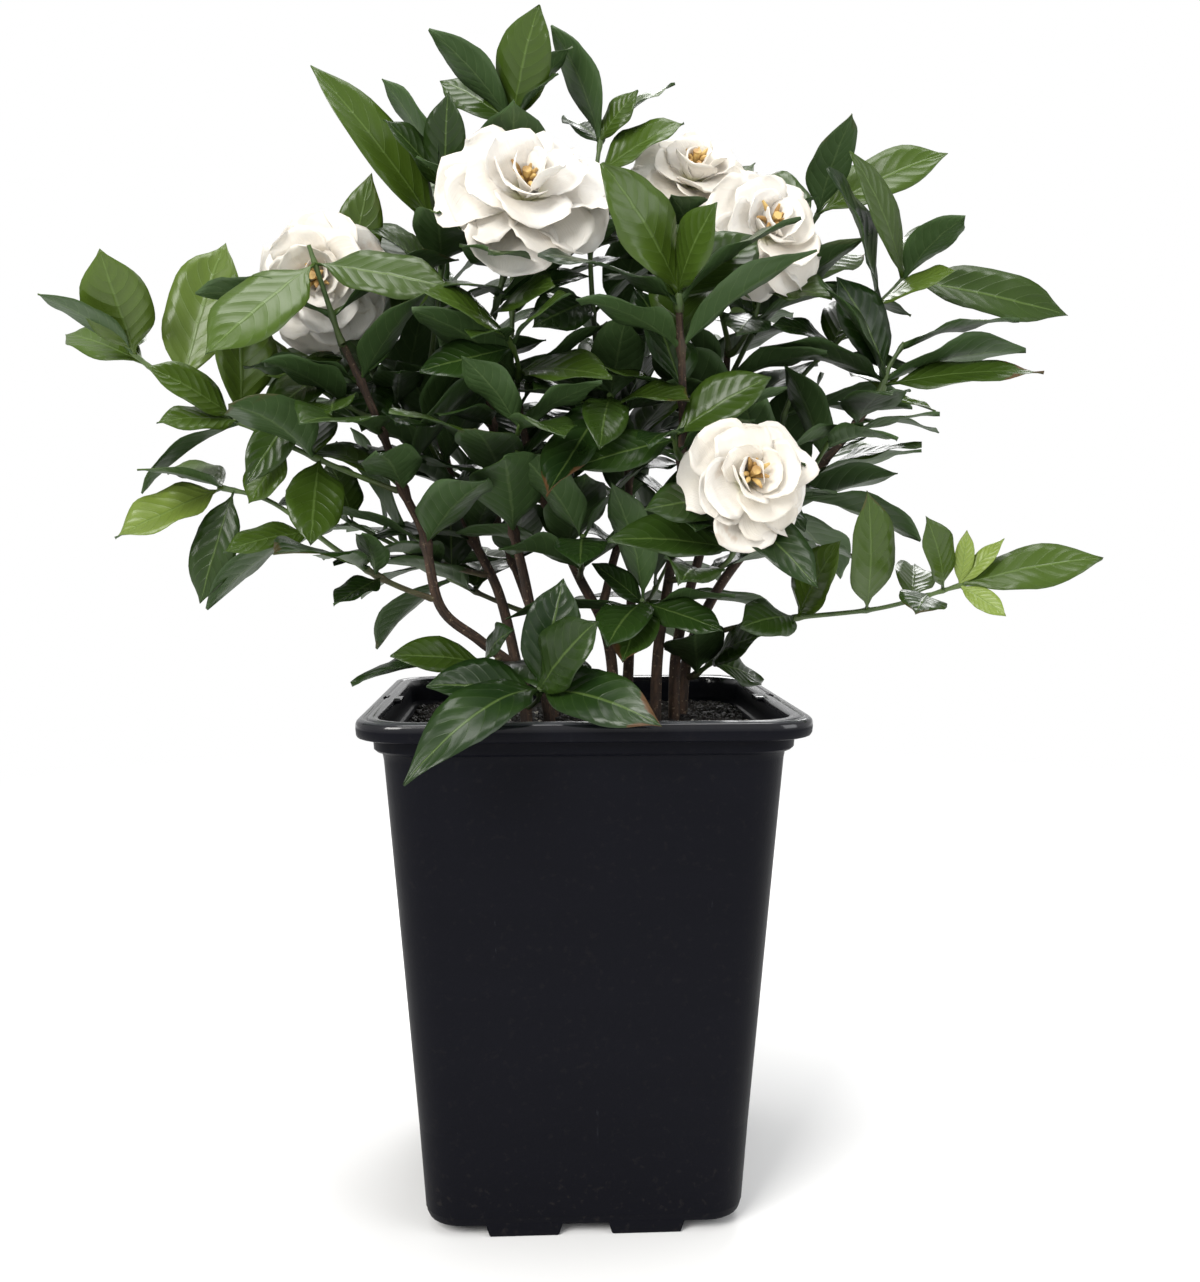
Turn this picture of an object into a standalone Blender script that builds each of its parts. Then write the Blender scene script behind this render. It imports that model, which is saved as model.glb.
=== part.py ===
"""A gardenia shrub in a square black nursery pot, as separate closed solids.

Metres, +Z up. The origin is on the ground under the middle of the pot, and -Y is the front. The plan of the
plant is written in millimetres: canes rise from the potting mix, leafy shoots sit on the canes, and each
flower sits on its own shoot. Leaves and petals are blades, each one bent along a quadratic curve.
"""

import math
import random
from collections import namedtuple

import bmesh
import bpy
from mathutils import Vector
from mathutils.bvhtree import BVHTree

MM = 0.001
SEAT_GAP = 0.3

# Pot, in mm
POT_HEIGHT = 227.0
RIM_HALF = 95.0
RIM_CORNER = 21.0
LIP_HEIGHT = 8.0
FLANGE = 8.5
COLLAR_HALF = 88.5
COLLAR_HEIGHT = 6.0
BODY_TOP_HALF = 85.0
BODY_BOTTOM_HALF = 69.5
WALL = 1.8
FOOT_HEIGHT = 5.0
FOOT_SIZE = (34.0, 7.0)
FOOT_PLACE = 26.5
DRAIN_RADIUS = 5.0
DRAIN_PLACE = 34.0
TAB_SIZE = (4.0, 13.0, 2.2)
SLOT_SIZE = (2.6, 10.0)
CORNER_STEPS = 4

# Potting mix, in mm
SOIL_TOP = 213.5
SOIL_BUMP = 1.6
SOIL_STEPS = 14
SOCKET_DEPTH = 26.0

# Stems, in mm
CANE_RADII = (3.1, 1.6)
FORK_RADII = (2.2, 1.6)
SHOOT_RADII = (1.35, 0.95)
CALYX_RADIUS = 2.6

# Blades: shares of the length where a blade is measured, and the half widths there as a share of the full one
BLADE_STATIONS = (0.0, 0.07, 0.47, 0.80, 1.0)
LEAF_OUTLINE = (0.0, 0.12, 1.0, 0.66, 0.0)
PETAL_OUTLINE = (0.0, 0.20, 0.84, 1.0, 0.0)
LEAF_THICKNESS = 1.0
PETAL_THICKNESS = 1.3
CLEARANCE = 0.45
ROOTING = 0.7
SPREAD = (239.0, 129.0, 535.0)
SHOWN_TOWARD = (0.0, -0.78, 0.62)

# ---------------------------------------------------------------- the plant's plan

# Canes: the route of each from its socket upwards, as (x, y, z) in mm.
CANES = {
    "cane_left_limb": [(-25, -9, 187), (-25, -9, 213), (-28, -11, 238), (-46, -14, 254), (-64, -16, 270),
                       (-71, -20, 303), (-79, -22, 321), (-88, -25, 347), (-95, -28, 365), (-104, -31, 385)],
    "cane_left_tall": [(-14, -3, 187), (-14, -3, 213), (-19, -6, 245), (-25, -9, 279), (-31, -12, 306),
                       (-36, -14, 332), (-41, -16, 362), (-41, -17, 388)],
    "cane_left_back": [(-25, 7, 187), (-25, 7, 213), (-31, 15, 245), (-39, 22, 276), (-53, 28, 305),
                       (-62, 30, 332), (-68, 30, 360), (-70, 27, 385)],
    "cane_middle": [(16, 11, 187), (16, 11, 213), (16, 10, 240), (11, 9, 262), (0, 7, 283),
                    (-12, 5, 310), (-21, 3, 333), (-27, 0, 356), (-31, -4, 374)],
    "cane_centre": [(35, -11, 187), (35, -11, 213), (36, -14, 250), (41, -22, 290), (44, -34, 330),
                    (43, -46, 365), (40, -58, 396)],
    "cane_right": [(45, 0, 187), (45, 0, 213), (46, 3, 245), (52, 8, 272), (59, 12, 296), (66, 15, 328),
                   (70, 15, 362), (71, 11, 390)],
    "cane_far_right": [(50, 13, 187), (50, 13, 213), (54, 17, 246), (68, 19, 276), (87, 17, 302),
                       (105, 14, 325), (125, 9, 346), (141, 4, 368)],
    "cane_back_middle": [(24, 24, 187), (24, 24, 213), (26, 32, 250), (28, 46, 292), (24, 58, 334), (18, 66, 372)],
    "cane_back_left": [(-12, 17, 187), (-12, 17, 213), (-18, 27, 250), (-32, 44, 290), (-48, 58, 328),
                       (-58, 66, 362)],
}

# Shoots: the stem that carries each, its own route in mm and its leaves. A leaf is (share of the route, tip, width).
# "more" is how many further leaf pairs follow the rule of the species, and "whorl" how many leaves close the tip.
SHOOTS = {
    "shoot_far_left": dict(
        on="cane_left_limb", route=[(-79, -22, 321), (-112, -22, 334), (-140, -22, 347), (-174, -22, 364),
                                    (-198, -22, 383)],
        leaves=[(1.0, (-201, -50, 421), 29), (0.93, (-237, 10, 395), 22), (0.78, (-160, -4, 434), 30),
                (0.60, (-184, -48, 373), 20), (0.58, (-179, -52, 349), 17), (0.27, (-116, -52, 298), 25),
                (0.40, (-150, -20, 318), 20), (0.44, (-128, 8, 378), 24)], more=2, whorl=2),
    "shoot_left_stub": dict(
        on="cane_left_limb", route=[(-104, -31, 388), (-112, -36, 410), (-117, -38, 426)],
        leaves=[(0.78, (-152, -76, 374), 30), (0.82, (-55, -54, 405), 24)], more=1, whorl=0),
    "shoot_flower_left": dict(
        on="cane_left_back", route=[(-63, 30, 336), (-88, 18, 366), (-104, 8, 392), (-110, 2, 406)],
        leaves=[(0.45, (-92, -30, 352), 22), (0.75, (-94, -4, 466), 22), (0.6, (-139, -40, 352), 21),
                (0.55, (-130, 40, 384), 24)], more=3, whorl=0),
    "shoot_low_left": dict(
        on="cane_left_limb", route=[(-66, -17, 272), (-88, -20, 282), (-110, -20, 296), (-138, -20, 317),
                                    (-162, -20, 324)],
        leaves=[(1.0, (-202, -38, 301), 24), (0.93, (-170, -24, 272), 20), (0.55, (-153, -50, 295), 17),
                (0.24, (-94, -54, 303), 15), (0.22, (-108, -44, 272), 16), (0.85, (-136, -40, 345), 20)],
        more=2, whorl=2),
    "shoot_upper_left": dict(
        on="cane_left_back", route=[(-70, 27, 388), (-66, 16, 415), (-62, 5, 440), (-61, -3, 460)],
        leaves=[(0.72, (-119, -14, 509), 25), (1.0, (-58, -20, 497), 20), (1.0, (-86, -22, 484), 20),
                (0.5, (-96, -6, 440), 24), (0.5, (-104, 30, 452), 22)], more=2, whorl=2),
    "shoot_flower_top": dict(
        on="cane_left_tall", route=[(-41, -17, 391), (-36, -18, 412), (-30, -22, 430), (-27, -30, 441)],
        leaves=[(0.2, (-12, -62, 405), 24), (0.35, (-58, -64, 404), 24), (0.3, (4, -10, 420), 23)],
        more=3, whorl=0),
    "shoot_crown": dict(
        on="cane_middle", route=[(-31, -4, 377), (-31, 8, 410), (-31, 10, 450), (-30, 0, 480), (-30, -6, 490)],
        leaves=[(1.0, (-18, -32, 530), 26), (1.0, (-10, -30, 502), 20), (1.0, (-64, 10, 512), 20),
                (0.62, (0, 40, 470), 22), (0.62, (-74, 34, 470), 22)], more=2, whorl=2),
    "shoot_crown_right": dict(
        on="cane_right_fork", route=[(10, 0, 374), (6, -4, 410), (5, -6, 440), (8, -4, 470), (10, -3, 484)],
        leaves=[(0.85, (47, -14, 487), 22), (1.0, (26, -14, 501), 14), (1.0, (-4, 20, 498), 20),
                (0.55, (36, 30, 452), 22), (0.35, (-18, -48, 396), 22)], more=2, whorl=2),
    "shoot_flower_upper_right": dict(
        on="cane_right", route=[(71, 11, 393), (66, 14, 416), (58, 14, 440), (54, 10, 456)],
        leaves=[(0.4, (104, 46, 452), 22), (0.5, (24, 36, 450), 22), (0.75, (86, 26, 482), 18)],
        more=3, whorl=0),
    "shoot_flower_right": dict(
        on="cane_right", route=[(70, 12, 385), (80, 2, 400), (84, -4, 418), (84, -8, 430)],
        leaves=[(0.35, (49, -48, 443), 28), (0.5, (112, -28, 408), 22), (0.3, (66, -48, 388), 22)],
        more=2, whorl=0),
    "shoot_right_top": dict(
        on="cane_far_right", route=[(100, 15, 320), (98, 18, 350), (106, 16, 376), (124, 12, 395),
                                    (140, 8, 410), (155, 5, 425)],
        leaves=[(0.97, (120, -24, 473), 21), (1.0, (226, -12, 404), 25), (0.86, (116, -40, 463), 31),
                (0.84, (166, -34, 419), 18), (0.62, (88, -14, 398), 17), (0.6, (144, 60, 420), 24)],
        more=2, whorl=2),
    "shoot_right_back": dict(
        on="cane_right", route=[(70, 15, 374), (86, 26, 402), (102, 26, 432), (117, 22, 459)],
        leaves=[(1.0, (175, 10, 483), 25), (0.9, (92, 60, 486), 24), (0.6, (150, 64, 448), 24)],
        more=2, whorl=2),
    "shoot_right_middle": dict(
        on="cane_far_right", route=[(141, 4, 371), (146, 2, 381), (153, 0, 393)],
        leaves=[(0.3, (101, -32, 414), 19), (0.4, (118, -10, 421), 25), (0.2, (213, -18, 377), 21),
                (0.05, (159, -30, 358), 10), (0.1, (150, 56, 388), 24)], more=1, whorl=2),
    "shoot_low_right": dict(
        on="cane_right", route=[(47, 3, 250), (72, -4, 259), (100, -10, 264), (141, -14, 269), (178, -18, 280)],
        leaves=[(0.42, (114, -42, 300), 22), (0.66, (126, -40, 322), 25), (0.80, (166, 22, 288), 20),
                (0.86, (146, -48, 268), 22), (0.93, (153, -38, 311), 17), (1.0, (238, -30, 292), 23),
                (0.98, (192, -34, 266), 11), (0.40, (68, -50, 262), 22), (1.0, (178, -20, 305), 9),
                (1.0, (195, -22, 301), 9)], more=0, whorl=0),
    "shoot_flower_front": dict(
        on="cane_centre", route=[(40, -21, 282), (50, -40, 284), (64, -54, 294), (68, -60, 302)],
        leaves=[(0.95, (35, -104, 338), 28), (0.55, (9, -76, 300), 23), (0.8, (28, -88, 312), 20),
                (0.9, (114, -90, 331), 18), (0.8, (95, -90, 284), 22)], more=2, whorl=0),
    "shoot_basal_front": dict(
        on="cane_left_limb", route=[(-26, -12, 226), (-24, -34, 226), (-20, -58, 232), (-19, -70, 238)],
        leaves=[(1.0, (-9, -66, 284), 24), (0.96, (4, -96, 268), 27), (0.9, (-66, -74, 240), 25),
                (1.0, (-70, -127, 209), 24, 0.34), (1.0, (28, -112, 228), 24, 0.2)], more=1, whorl=0),
    "shoot_inner_left": dict(
        on="cane_left_limb", route=[(-91, -26, 352), (-108, -18, 362), (-126, -14, 374)],
        leaves=[(0.8, (-147, -34, 324), 19), (0.9, (-172, -2, 394), 22), (0.5, (-104, -66, 352), 23)],
        more=2, whorl=2),
    "shoot_middle_front": dict(
        on="cane_middle", route=[(-29, -3, 366), (-28, -24, 378), (-32, -40, 388)],
        leaves=[(1.0, (-60, -78, 404), 25), (0.9, (-6, -78, 399), 18), (0.4, (12, -58, 368), 23),
                (0.8, (-70, -44, 372), 22)], more=1, whorl=2),
    "shoot_centre_spur": dict(
        on="cane_right_fork", route=[(18, 0, 353), (16, -18, 360), (12, -34, 364)],
        leaves=[(0.9, (-16, -70, 318), 25), (1.0, (-8, -72, 378), 22), (0.7, (44, -64, 358), 22)],
        more=1, whorl=2),
    "shoot_centre_top": dict(
        on="cane_centre", route=[(40, -58, 399), (40, -60, 406)],
        leaves=[(0.9, (6, -86, 448), 29), (1.0, (51, -92, 432), 23), (0.5, (76, -44, 430), 24)],
        more=1, whorl=2),
    "shoot_centre_middle": dict(
        on="cane_centre", route=[(44, -35, 335), (40, -48, 340), (38, -56, 346)],
        leaves=[(0.7, (-6, -64, 330), 22), (0.95, (20, -76, 386), 20), (0.9, (78, -64, 368), 23)],
        more=1, whorl=2),
    "shoot_centre_low": dict(
        on="cane_centre", route=[(38, -17, 265), (30, -32, 268), (26, -42, 274)],
        leaves=[(0.9, (15, -78, 250), 21), (0.8, (4, -40, 290), 14), (0.95, (58, -68, 262), 18)],
        more=1, whorl=2),
    "shoot_right_base": dict(
        on="cane_far_right", route=[(52, 15, 232), (62, 8, 240), (66, 4, 244)],
        leaves=[(0.9, (84, -24, 262), 22), (0.9, (92, 18, 228), 22)], more=1, whorl=0),
    "shoot_limb_spur": dict(
        on="cane_left_limb", route=[(-36, -12, 246), (-42, -24, 244), (-46, -30, 246)],
        leaves=[(0.9, (-84, -44, 250), 18), (0.9, (-30, -58, 262), 16)], more=1, whorl=0),
}

# Shoots that follow the species' rule alone: the cane, the share of its height, the compass angle, the rise
# above the horizon, the stem's length in mm, its leaf pairs and the leaves that close its tip.
FREE_SHOOTS = {
    "shoot_back_low_left": ("cane_back_left", 0.42, 160, 22, 88, 3, 3),
    "shoot_back_left": ("cane_back_left", 0.80, 182, 30, 74, 2, 4),
    "shoot_back_left_tip": ("cane_back_left", 1.0, 130, 66, 60, 2, 4),
    "shoot_back_middle": ("cane_back_middle", 0.72, 96, 44, 58, 2, 4),
    "shoot_back_middle_tip": ("cane_back_middle", 1.0, 70, 72, 74, 2, 4),
    "shoot_back_low": ("cane_back_middle", 0.38, 62, 26, 60, 2, 4),
    "shoot_back_right": ("cane_back_middle", 0.86, 12, 40, 88, 3, 3),
    "shoot_side_right": ("cane_far_right", 0.55, 52, 28, 80, 3, 3),
    "shoot_side_left": ("cane_left_back", 0.48, 178, 16, 72, 2, 3),
    "shoot_left_inside": ("cane_left_back", 0.72, 250, 30, 42, 1, 3),
    "shoot_tall_inside": ("cane_left_tall", 0.72, 285, 22, 38, 1, 3),
    "shoot_middle_inside": ("cane_middle", 0.50, 270, 24, 40, 1, 3),
    "shoot_right_inside": ("cane_right", 0.62, 300, 24, 44, 2, 3),
    "shoot_right_front": ("cane_far_right", 0.72, 285, 26, 40, 1, 3),
}

# Canes carry whorls of leaves of their own at these shares of their height.
CANE_WHORLS = (0.58, 0.70, 0.82, 0.93)

# The fork of the right cane leaves the middle one.
FORKS = {"cane_right_fork": ("cane_middle", [(10, 9, 264), (16, 3, 290), (22, 1, 312), (23, 0, 332), (18, 0, 352),
                                             (11, 0, 370)])}

# Flowers: the shoot that carries each, the middle of the flower, the way it faces and its width, in mm.
FLOWERS = {
    "flower_top": ("shoot_flower_top", (-24, -50, 450), (0.05, -0.78, 0.50), 70),
    "flower_left": ("shoot_flower_left", (-117, -14, 417), (-0.15, -0.95, -0.05), 58),
    "flower_upper_right": ("shoot_flower_upper_right", (53, -2, 470), (0.05, -0.72, 0.64), 56),
    "flower_right": ("shoot_flower_right", (84, -24, 440), (0.22, -0.90, 0.25), 58),
    "flower_front": ("shoot_flower_front", (67, -76, 326), (0.15, -0.92, 0.22), 54),
}

# Petals: how many in each ring, the turn of the ring, the angle from the flower's axis at the base and at the
# tip, the length as a share of the flower's width, the width as a share of the length, and the place on the hub.
PETAL_RINGS = (
    (6, 0.0, 68, 104, 0.52, 0.62, 0.0),
    (5, 0.45, 52, 84, 0.46, 0.66, 2.4),
    (4, 0.15, 36, 56, 0.38, 0.62, 4.2),
)
HUB = ((-4.0, 3.4), (9.0, 3.7))

MATERIALS = {
    "pot_plastic": ((0.012, 0.012, 0.016), 0.35),
    "potting_mix": ((0.030, 0.022, 0.016), 0.95),
    "leafy_cane": ((0.12, 0.12, 0.05), 0.6),
    "leafy_shoot": ((0.06, 0.16, 0.03), 0.35),
    "petals": ((0.90, 0.87, 0.76), 0.5),
    "flower_centre": ((0.55, 0.40, 0.14), 0.6),
}

# ---------------------------------------------------------------- laying out the plant, in mm

Blade = namedtuple("Blade", "base control tip face width outline thickness")
Stem = namedtuple("Stem", "name route radii sides")


def quad_point(blade, share):
    """The middle of a blade at a share of its length."""
    rest = 1.0 - share
    return blade.base * rest * rest + blade.control * 2.0 * rest * share + blade.tip * share * share


def quad_heading(blade, share):
    """The direction a blade runs in at a share of its length."""
    return ((blade.control - blade.base) * (1.0 - share) + (blade.tip - blade.control) * share).normalized()


def leaf_blade(base, tip, width, toward, arch):
    """A leaf from its base to its tip that shows its upper side to a given direction and arches over."""
    chord = tip - base
    heading = chord.normalized()
    base = base - heading * ROOTING
    chord = tip - base
    face = (toward - heading * toward.dot(heading)).normalized()
    control = base + chord * 0.5 + face * chord.length * arch
    return Blade(base, control, tip, face, width, LEAF_OUTLINE, LEAF_THICKNESS)


def route_lengths(route):
    """The distance along a route at each of its points."""
    lengths = [0.0]
    for start, end in zip(route, route[1:]):
        lengths.append(lengths[-1] + (end - start).length)
    return lengths


def route_point(route, share):
    """The point and heading at a share of a route's length."""
    lengths = route_lengths(route)
    wanted = share * lengths[-1]
    for index in range(len(route) - 1):
        if wanted <= lengths[index + 1] or index == len(route) - 2:
            span = route[index + 1] - route[index]
            return route[index] + span * ((wanted - lengths[index]) / span.length), span.normalized()


def leaf_base(route, share):
    """Where a leaf leaves a stem, and the stem's heading there: always a little short of the stem's end."""
    length = route_lengths(route)[-1]
    return route_point(route, min(share, 1.0 - 1.8 / length))


def square_frame(axis):
    """Two directions square to an axis and to each other."""
    helper = Vector((0.0, 0.0, 1.0)) if abs(axis.z) < 0.9 else Vector((0.0, 1.0, 0.0))
    first = axis.cross(helper).normalized()
    return first, axis.cross(first).normalized()


def blade_mesh(blade, extra=0.0, first_share=0.0):
    """The vertices and faces of a blade, made thicker by an extra amount on every side."""
    mesh = bmesh.new()
    bmesh.ops.create_uvsphere(mesh, u_segments=4, v_segments=len(BLADE_STATIONS) - 1, radius=1.0)
    for vert in mesh.verts:
        around = math.hypot(vert.co.x, vert.co.y)
        ring = round((1.0 - math.acos(max(-1.0, min(1.0, vert.co.z))) / math.pi) * (len(BLADE_STATIONS) - 1))
        ring = len(BLADE_STATIONS) - 1 - ring
        share = first_share + (1.0 - first_share) * BLADE_STATIONS[ring]
        heading = quad_heading(blade, share)
        side = heading.cross(blade.face).normalized()
        normal = side.cross(heading)
        across = vert.co.x / around if around > 0.1 else 0.0
        upward = vert.co.y / around if around > 0.1 else 0.0
        half = blade.width * 0.5 * blade.outline[ring] + extra
        vert.co = (quad_point(blade, share) + side * across * half
                   + normal * upward * (blade.thickness * 0.5 + extra))
    return mesh


def blade_tree(blade, extra, first_share=0.0):
    """A search tree and a box for a blade."""
    mesh = blade_mesh(blade, extra, first_share)
    tree = BVHTree.FromBMesh(mesh)
    box = box_of([vert.co.copy() for vert in mesh.verts])
    mesh.free()
    return tree, box


def box_of(points):
    """The lowest and highest corners around some points."""
    return [(min(p[axis] for p in points), max(p[axis] for p in points)) for axis in range(3)]


def boxes_meet(first, second):
    """Whether two boxes meet."""
    return all(a[0] <= b[1] and b[0] <= a[1] for a, b in zip(first, second))


def stem_tree(stem, extra, sides=6):
    """A search tree and a box for a stem, made thicker by an extra amount."""
    points = []
    faces = []
    for index, (place, radius) in enumerate(zip(stem.route, stem.radii)):
        heading = (stem.route[min(index + 1, len(stem.route) - 1)] - stem.route[max(index - 1, 0)]).normalized()
        first, second = square_frame(heading)
        for step in range(sides):
            turn = math.tau * step / sides
            points.append(place + (first * math.cos(turn) + second * math.sin(turn)) * (radius + extra))
    for ring in range(len(stem.route) - 1):
        for step in range(sides):
            here, after = ring * sides + step, ring * sides + (step + 1) % sides
            faces.append((here, after, after + sides, here + sides))
    faces.append(tuple(range(sides)))
    faces.append(tuple(range(len(points) - sides, len(points))))
    return BVHTree.FromPolygons(points, faces), box_of(points)


def box_tree(half, high):
    """A search tree and a box for an upright square block that stands on the ground."""
    points = [Vector((x, y, z)) for z in (0.0, high) for x, y in
              ((-half, -half), (half, -half), (half, half), (-half, half))]
    faces = [(0, 1, 5, 4), (1, 2, 6, 5), (2, 3, 7, 6), (3, 0, 4, 7), (4, 5, 6, 7)]
    return BVHTree.FromPolygons(points, faces), box_of(points)


class Thicket:
    """Everything placed so far, so that nothing new runs through it."""

    def __init__(self):
        self.items = []

    def add(self, owner, kind, tree, box):
        self.items.append((owner, kind, tree, box))

    def clear_of(self, owner, blade):
        """Whether a blade misses every other piece, and its own shoot's blades beyond their bases."""
        tree, box = blade_tree(blade, CLEARANCE)
        tail, tail_box = blade_tree(blade, 0.1, 0.12)
        for other, kind, other_tree, other_box in self.items:
            own = other == owner
            if own != (kind == "tail"):
                continue
            if boxes_meet(tail_box if own else box, other_box):
                if (tail if own else tree).overlap(other_tree):
                    return False
        return all(inside_allowed(quad_point(blade, share)) for share in (0.5, 0.8, 1.0))

    def take(self, owner, blade):
        """Add a blade under its owner's name."""
        self.add(owner, "whole", *blade_tree(blade, 0.0))
        self.add(owner, "tail", *blade_tree(blade, 0.1, 0.12))


def inside_allowed(point):
    """Whether a leaf may reach a point: outside the pot and the potting mix and inside the plant's spread."""
    reach = RIM_HALF + 3.0
    near_pot = abs(point.x) < reach and abs(point.y) < reach and point.z < POT_HEIGHT + 1.0
    spread = all(abs(value) < limit for value, limit in zip(point, SPREAD))
    return not near_pot and spread and point.z > 150.0


def turned_options(base, tip, width, toward, arch, spread):
    """A leaf and the small changes of aim and size that are tried when something is in its way."""
    chord = tip - base
    first, second = square_frame(chord.normalized())
    for size in (1.0, 0.9, 0.8):
        for reach in (0.0, 0.12, 0.24, 0.38):
            for step in range(8 if reach else 1):
                turn = math.tau * step / 8.0
                aim = chord + (first * math.cos(turn) + second * math.sin(turn)) * chord.length * reach * spread
                aim = aim.normalized() * chord.length * size
                yield leaf_blade(base, base + aim, width * size, toward, arch)


def closest_on(stem, point):
    """The point of a stem's axis that lies nearest to another point, and the stem's radius there."""
    best = None
    lengths = route_lengths(stem.route)
    for index, (start, end) in enumerate(zip(stem.route, stem.route[1:])):
        span = end - start
        share = max(0.0, min(1.0, (point - start).dot(span) / span.length_squared))
        found = start + span * share
        if best is None or (found - point).length < (best[0] - point).length:
            along = (lengths[index] + span.length * share) / lengths[-1]
            best = found, stem.radii[0] + (stem.radii[-1] - stem.radii[0]) * along
    return best


def seat_on(carrier, axis_point, heading, radius):
    """The start of a stem that leaves an axis point and stands a seat gap off its carrier's surface."""
    first, second = square_frame(heading)
    middle = axis_point
    for step in range(400):
        middle = axis_point + heading * step * 0.05
        gaps = []
        for turn in (math.tau * k / 12.0 for k in range(12)):
            rim = middle + (first * math.cos(turn) + second * math.sin(turn)) * radius
            nearest, thick = closest_on(carrier, rim)
            gaps.append((rim - nearest).length - thick)
        if min(gaps) >= SEAT_GAP:
            break
    return middle


def cane_radii(route, radii):
    """The radius at every point of a route, from thick to thin."""
    lengths = route_lengths(route)
    return [radii[0] + (radii[1] - radii[0]) * length / lengths[-1] for length in lengths]


def blooms():
    """For every flower: its hub, its axis and its petals, in rings from the outside in."""
    found = {}
    for name, (_, middle, facing, width) in FLOWERS.items():
        axis = Vector(facing).normalized()
        hub = Vector(middle) - axis * width * 0.18
        first, second = square_frame(axis)
        rng = random.Random(name)
        petals = []
        for count, turn_share, base_mean, tip_mean, length, breadth, place in PETAL_RINGS:
            for index in range(count):
                turn = math.tau * (index + turn_share) / count
                base_angle = base_mean + rng.uniform(-2.0, 2.0)
                tip_angle = tip_mean + rng.uniform(-6.0, 6.0)
                base = hub + axis * (place + rng.uniform(-0.3, 0.3))
                outward = first * math.cos(turn) + second * math.sin(turn)
                start = axis * math.cos(math.radians(base_angle)) + outward * math.sin(math.radians(base_angle))
                end = axis * math.cos(math.radians(tip_angle)) + outward * math.sin(math.radians(tip_angle))
                control = base + start * length * width * 0.5
                face = (axis - start * axis.dot(start)).normalized()
                petals.append(Blade(base, control, control + end * length * width * 0.5, face,
                                    length * width * breadth, PETAL_OUTLINE, PETAL_THICKNESS))
        found[name] = (hub, axis, petals)
    return found


def lay_out():
    """Every stem, leaf and petal of the plant: a dictionary of stems, one of leaves and one of flowers."""
    thicket = Thicket()
    stems = {}
    for name, route in CANES.items():
        points = [Vector(point) for point in route]
        stems[name] = Stem(name, points, cane_radii(points, CANE_RADII), 8)
    flowers = blooms()
    carried = {entry[0]: name for name, entry in FLOWERS.items()}
    plans = {name: (plan["on"], [Vector(point) for point in plan["route"]]) for name, plan in SHOOTS.items()}
    for name, (cane, share, compass, rise, length, _, _) in FREE_SHOOTS.items():
        start, heading = route_point(stems[cane].route, share)
        compass, rise = math.radians(compass), math.radians(rise)
        aim = Vector((math.cos(compass) * math.cos(rise), math.sin(compass) * math.cos(rise), math.sin(rise)))
        bend = Vector((0.0, 0.0, length * 0.10))
        plans[name] = (cane, [start, start + aim * length * 0.5, start + aim * length + bend])
    plans.update({name: (on, [Vector(point) for point in route]) for name, (on, route) in FORKS.items()})
    order = list(FORKS) + [name for name in plans if name not in FORKS]
    for name in order:
        on, route = plans[name]
        radii = FORK_RADII if name in FORKS else SHOOT_RADII
        carrier = stems[on]
        if name in carried:
            hub, axis, _ = flowers[carried[name]]
            route = route[:-1] + [hub - axis * 17.0, hub + axis * (HUB[0][0] - SEAT_GAP)]
        axis_point, _ = closest_on(carrier, route[0])
        if (axis_point - carrier.route[-1]).length < 4.0:
            heading = (carrier.route[-1] - carrier.route[-2]).normalized()
            route = [carrier.route[-1] + heading * SEAT_GAP, carrier.route[-1] + heading * 4.0] + route[1:]
        else:
            heading = (route[1] - axis_point).normalized()
            route = [seat_on(carrier, axis_point, heading, radii[0])] + route[1:]
        widths = cane_radii(route, radii)
        if name in carried:
            widths[-1] = CALYX_RADIUS
        stems[name] = Stem(name, route, widths, 8 if name in FORKS else 6)
    thicket.add("pot", "pot", *box_tree(RIM_HALF + 0.5, POT_HEIGHT + 0.5))
    for name, stem in stems.items():
        thicket.add(name, "stem", *stem_tree(stem, CLEARANCE))
    for name, (hub, axis, petals) in flowers.items():
        for petal in petals:
            thicket.add(name, "petal", *blade_tree(petal, 0.3))
    leaves = {name: [] for name in stems}
    ahead = Vector(SHOWN_TOWARD)
    for name, plan in SHOOTS.items():
        for share, tip, width, *given in plan["leaves"]:
            base, _ = leaf_base(stems[name].route, share)
            arch = given[0] if given else (0.10 if tip[2] > base.z - 10.0 else 0.04)
            for leaf in turned_options(base, Vector(tip), width, ahead, arch, 0.55):
                if thicket.clear_of(name, leaf):
                    thicket.take(name, leaf)
                    leaves[name].append(leaf)
                    break
    for name in list(SHOOTS) + list(FREE_SHOOTS) + list(CANES) + list(FORKS):
        rng = random.Random(name)
        route = stems[name].route
        if name in SHOOTS or name in FREE_SHOOTS:
            plan = SHOOTS.get(name)
            more, whorl = (plan["more"], plan["whorl"]) if plan else FREE_SHOOTS[name][-2:]
            rows = [(0.30 + 0.55 * index / max(more, 1), 2, False) for index in range(more)] + [(1.0, whorl, True)]
        else:
            rows = [(share, 3, False) for share in CANE_WHORLS]
        for index, (share, count, closing) in enumerate(rows):
            base, heading = leaf_base(route, share)
            first, second = square_frame(heading)
            for place in range(count):
                turn = math.tau * place / max(count, 1) + index * math.pi * 0.5 + rng.uniform(-0.3, 0.3)
                outward = first * math.cos(turn) + second * math.sin(turn)
                open_angle = math.radians(rng.uniform(38, 52) if closing else rng.uniform(55, 72))
                length = rng.uniform(40, 58) if closing else rng.uniform(50, 70)
                aim = heading * math.cos(open_angle) + outward * math.sin(open_angle)
                tip = base + aim * length
                for leaf in turned_options(base, tip, length * rng.uniform(0.42, 0.50), Vector((0, 0, 1.0)), 0.12, 1.0):
                    if thicket.clear_of(name, leaf):
                        thicket.take(name, leaf)
                        leaves[name].append(leaf)
                        break
    return stems, leaves, flowers


# ---------------------------------------------------------------- building, in metres


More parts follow.
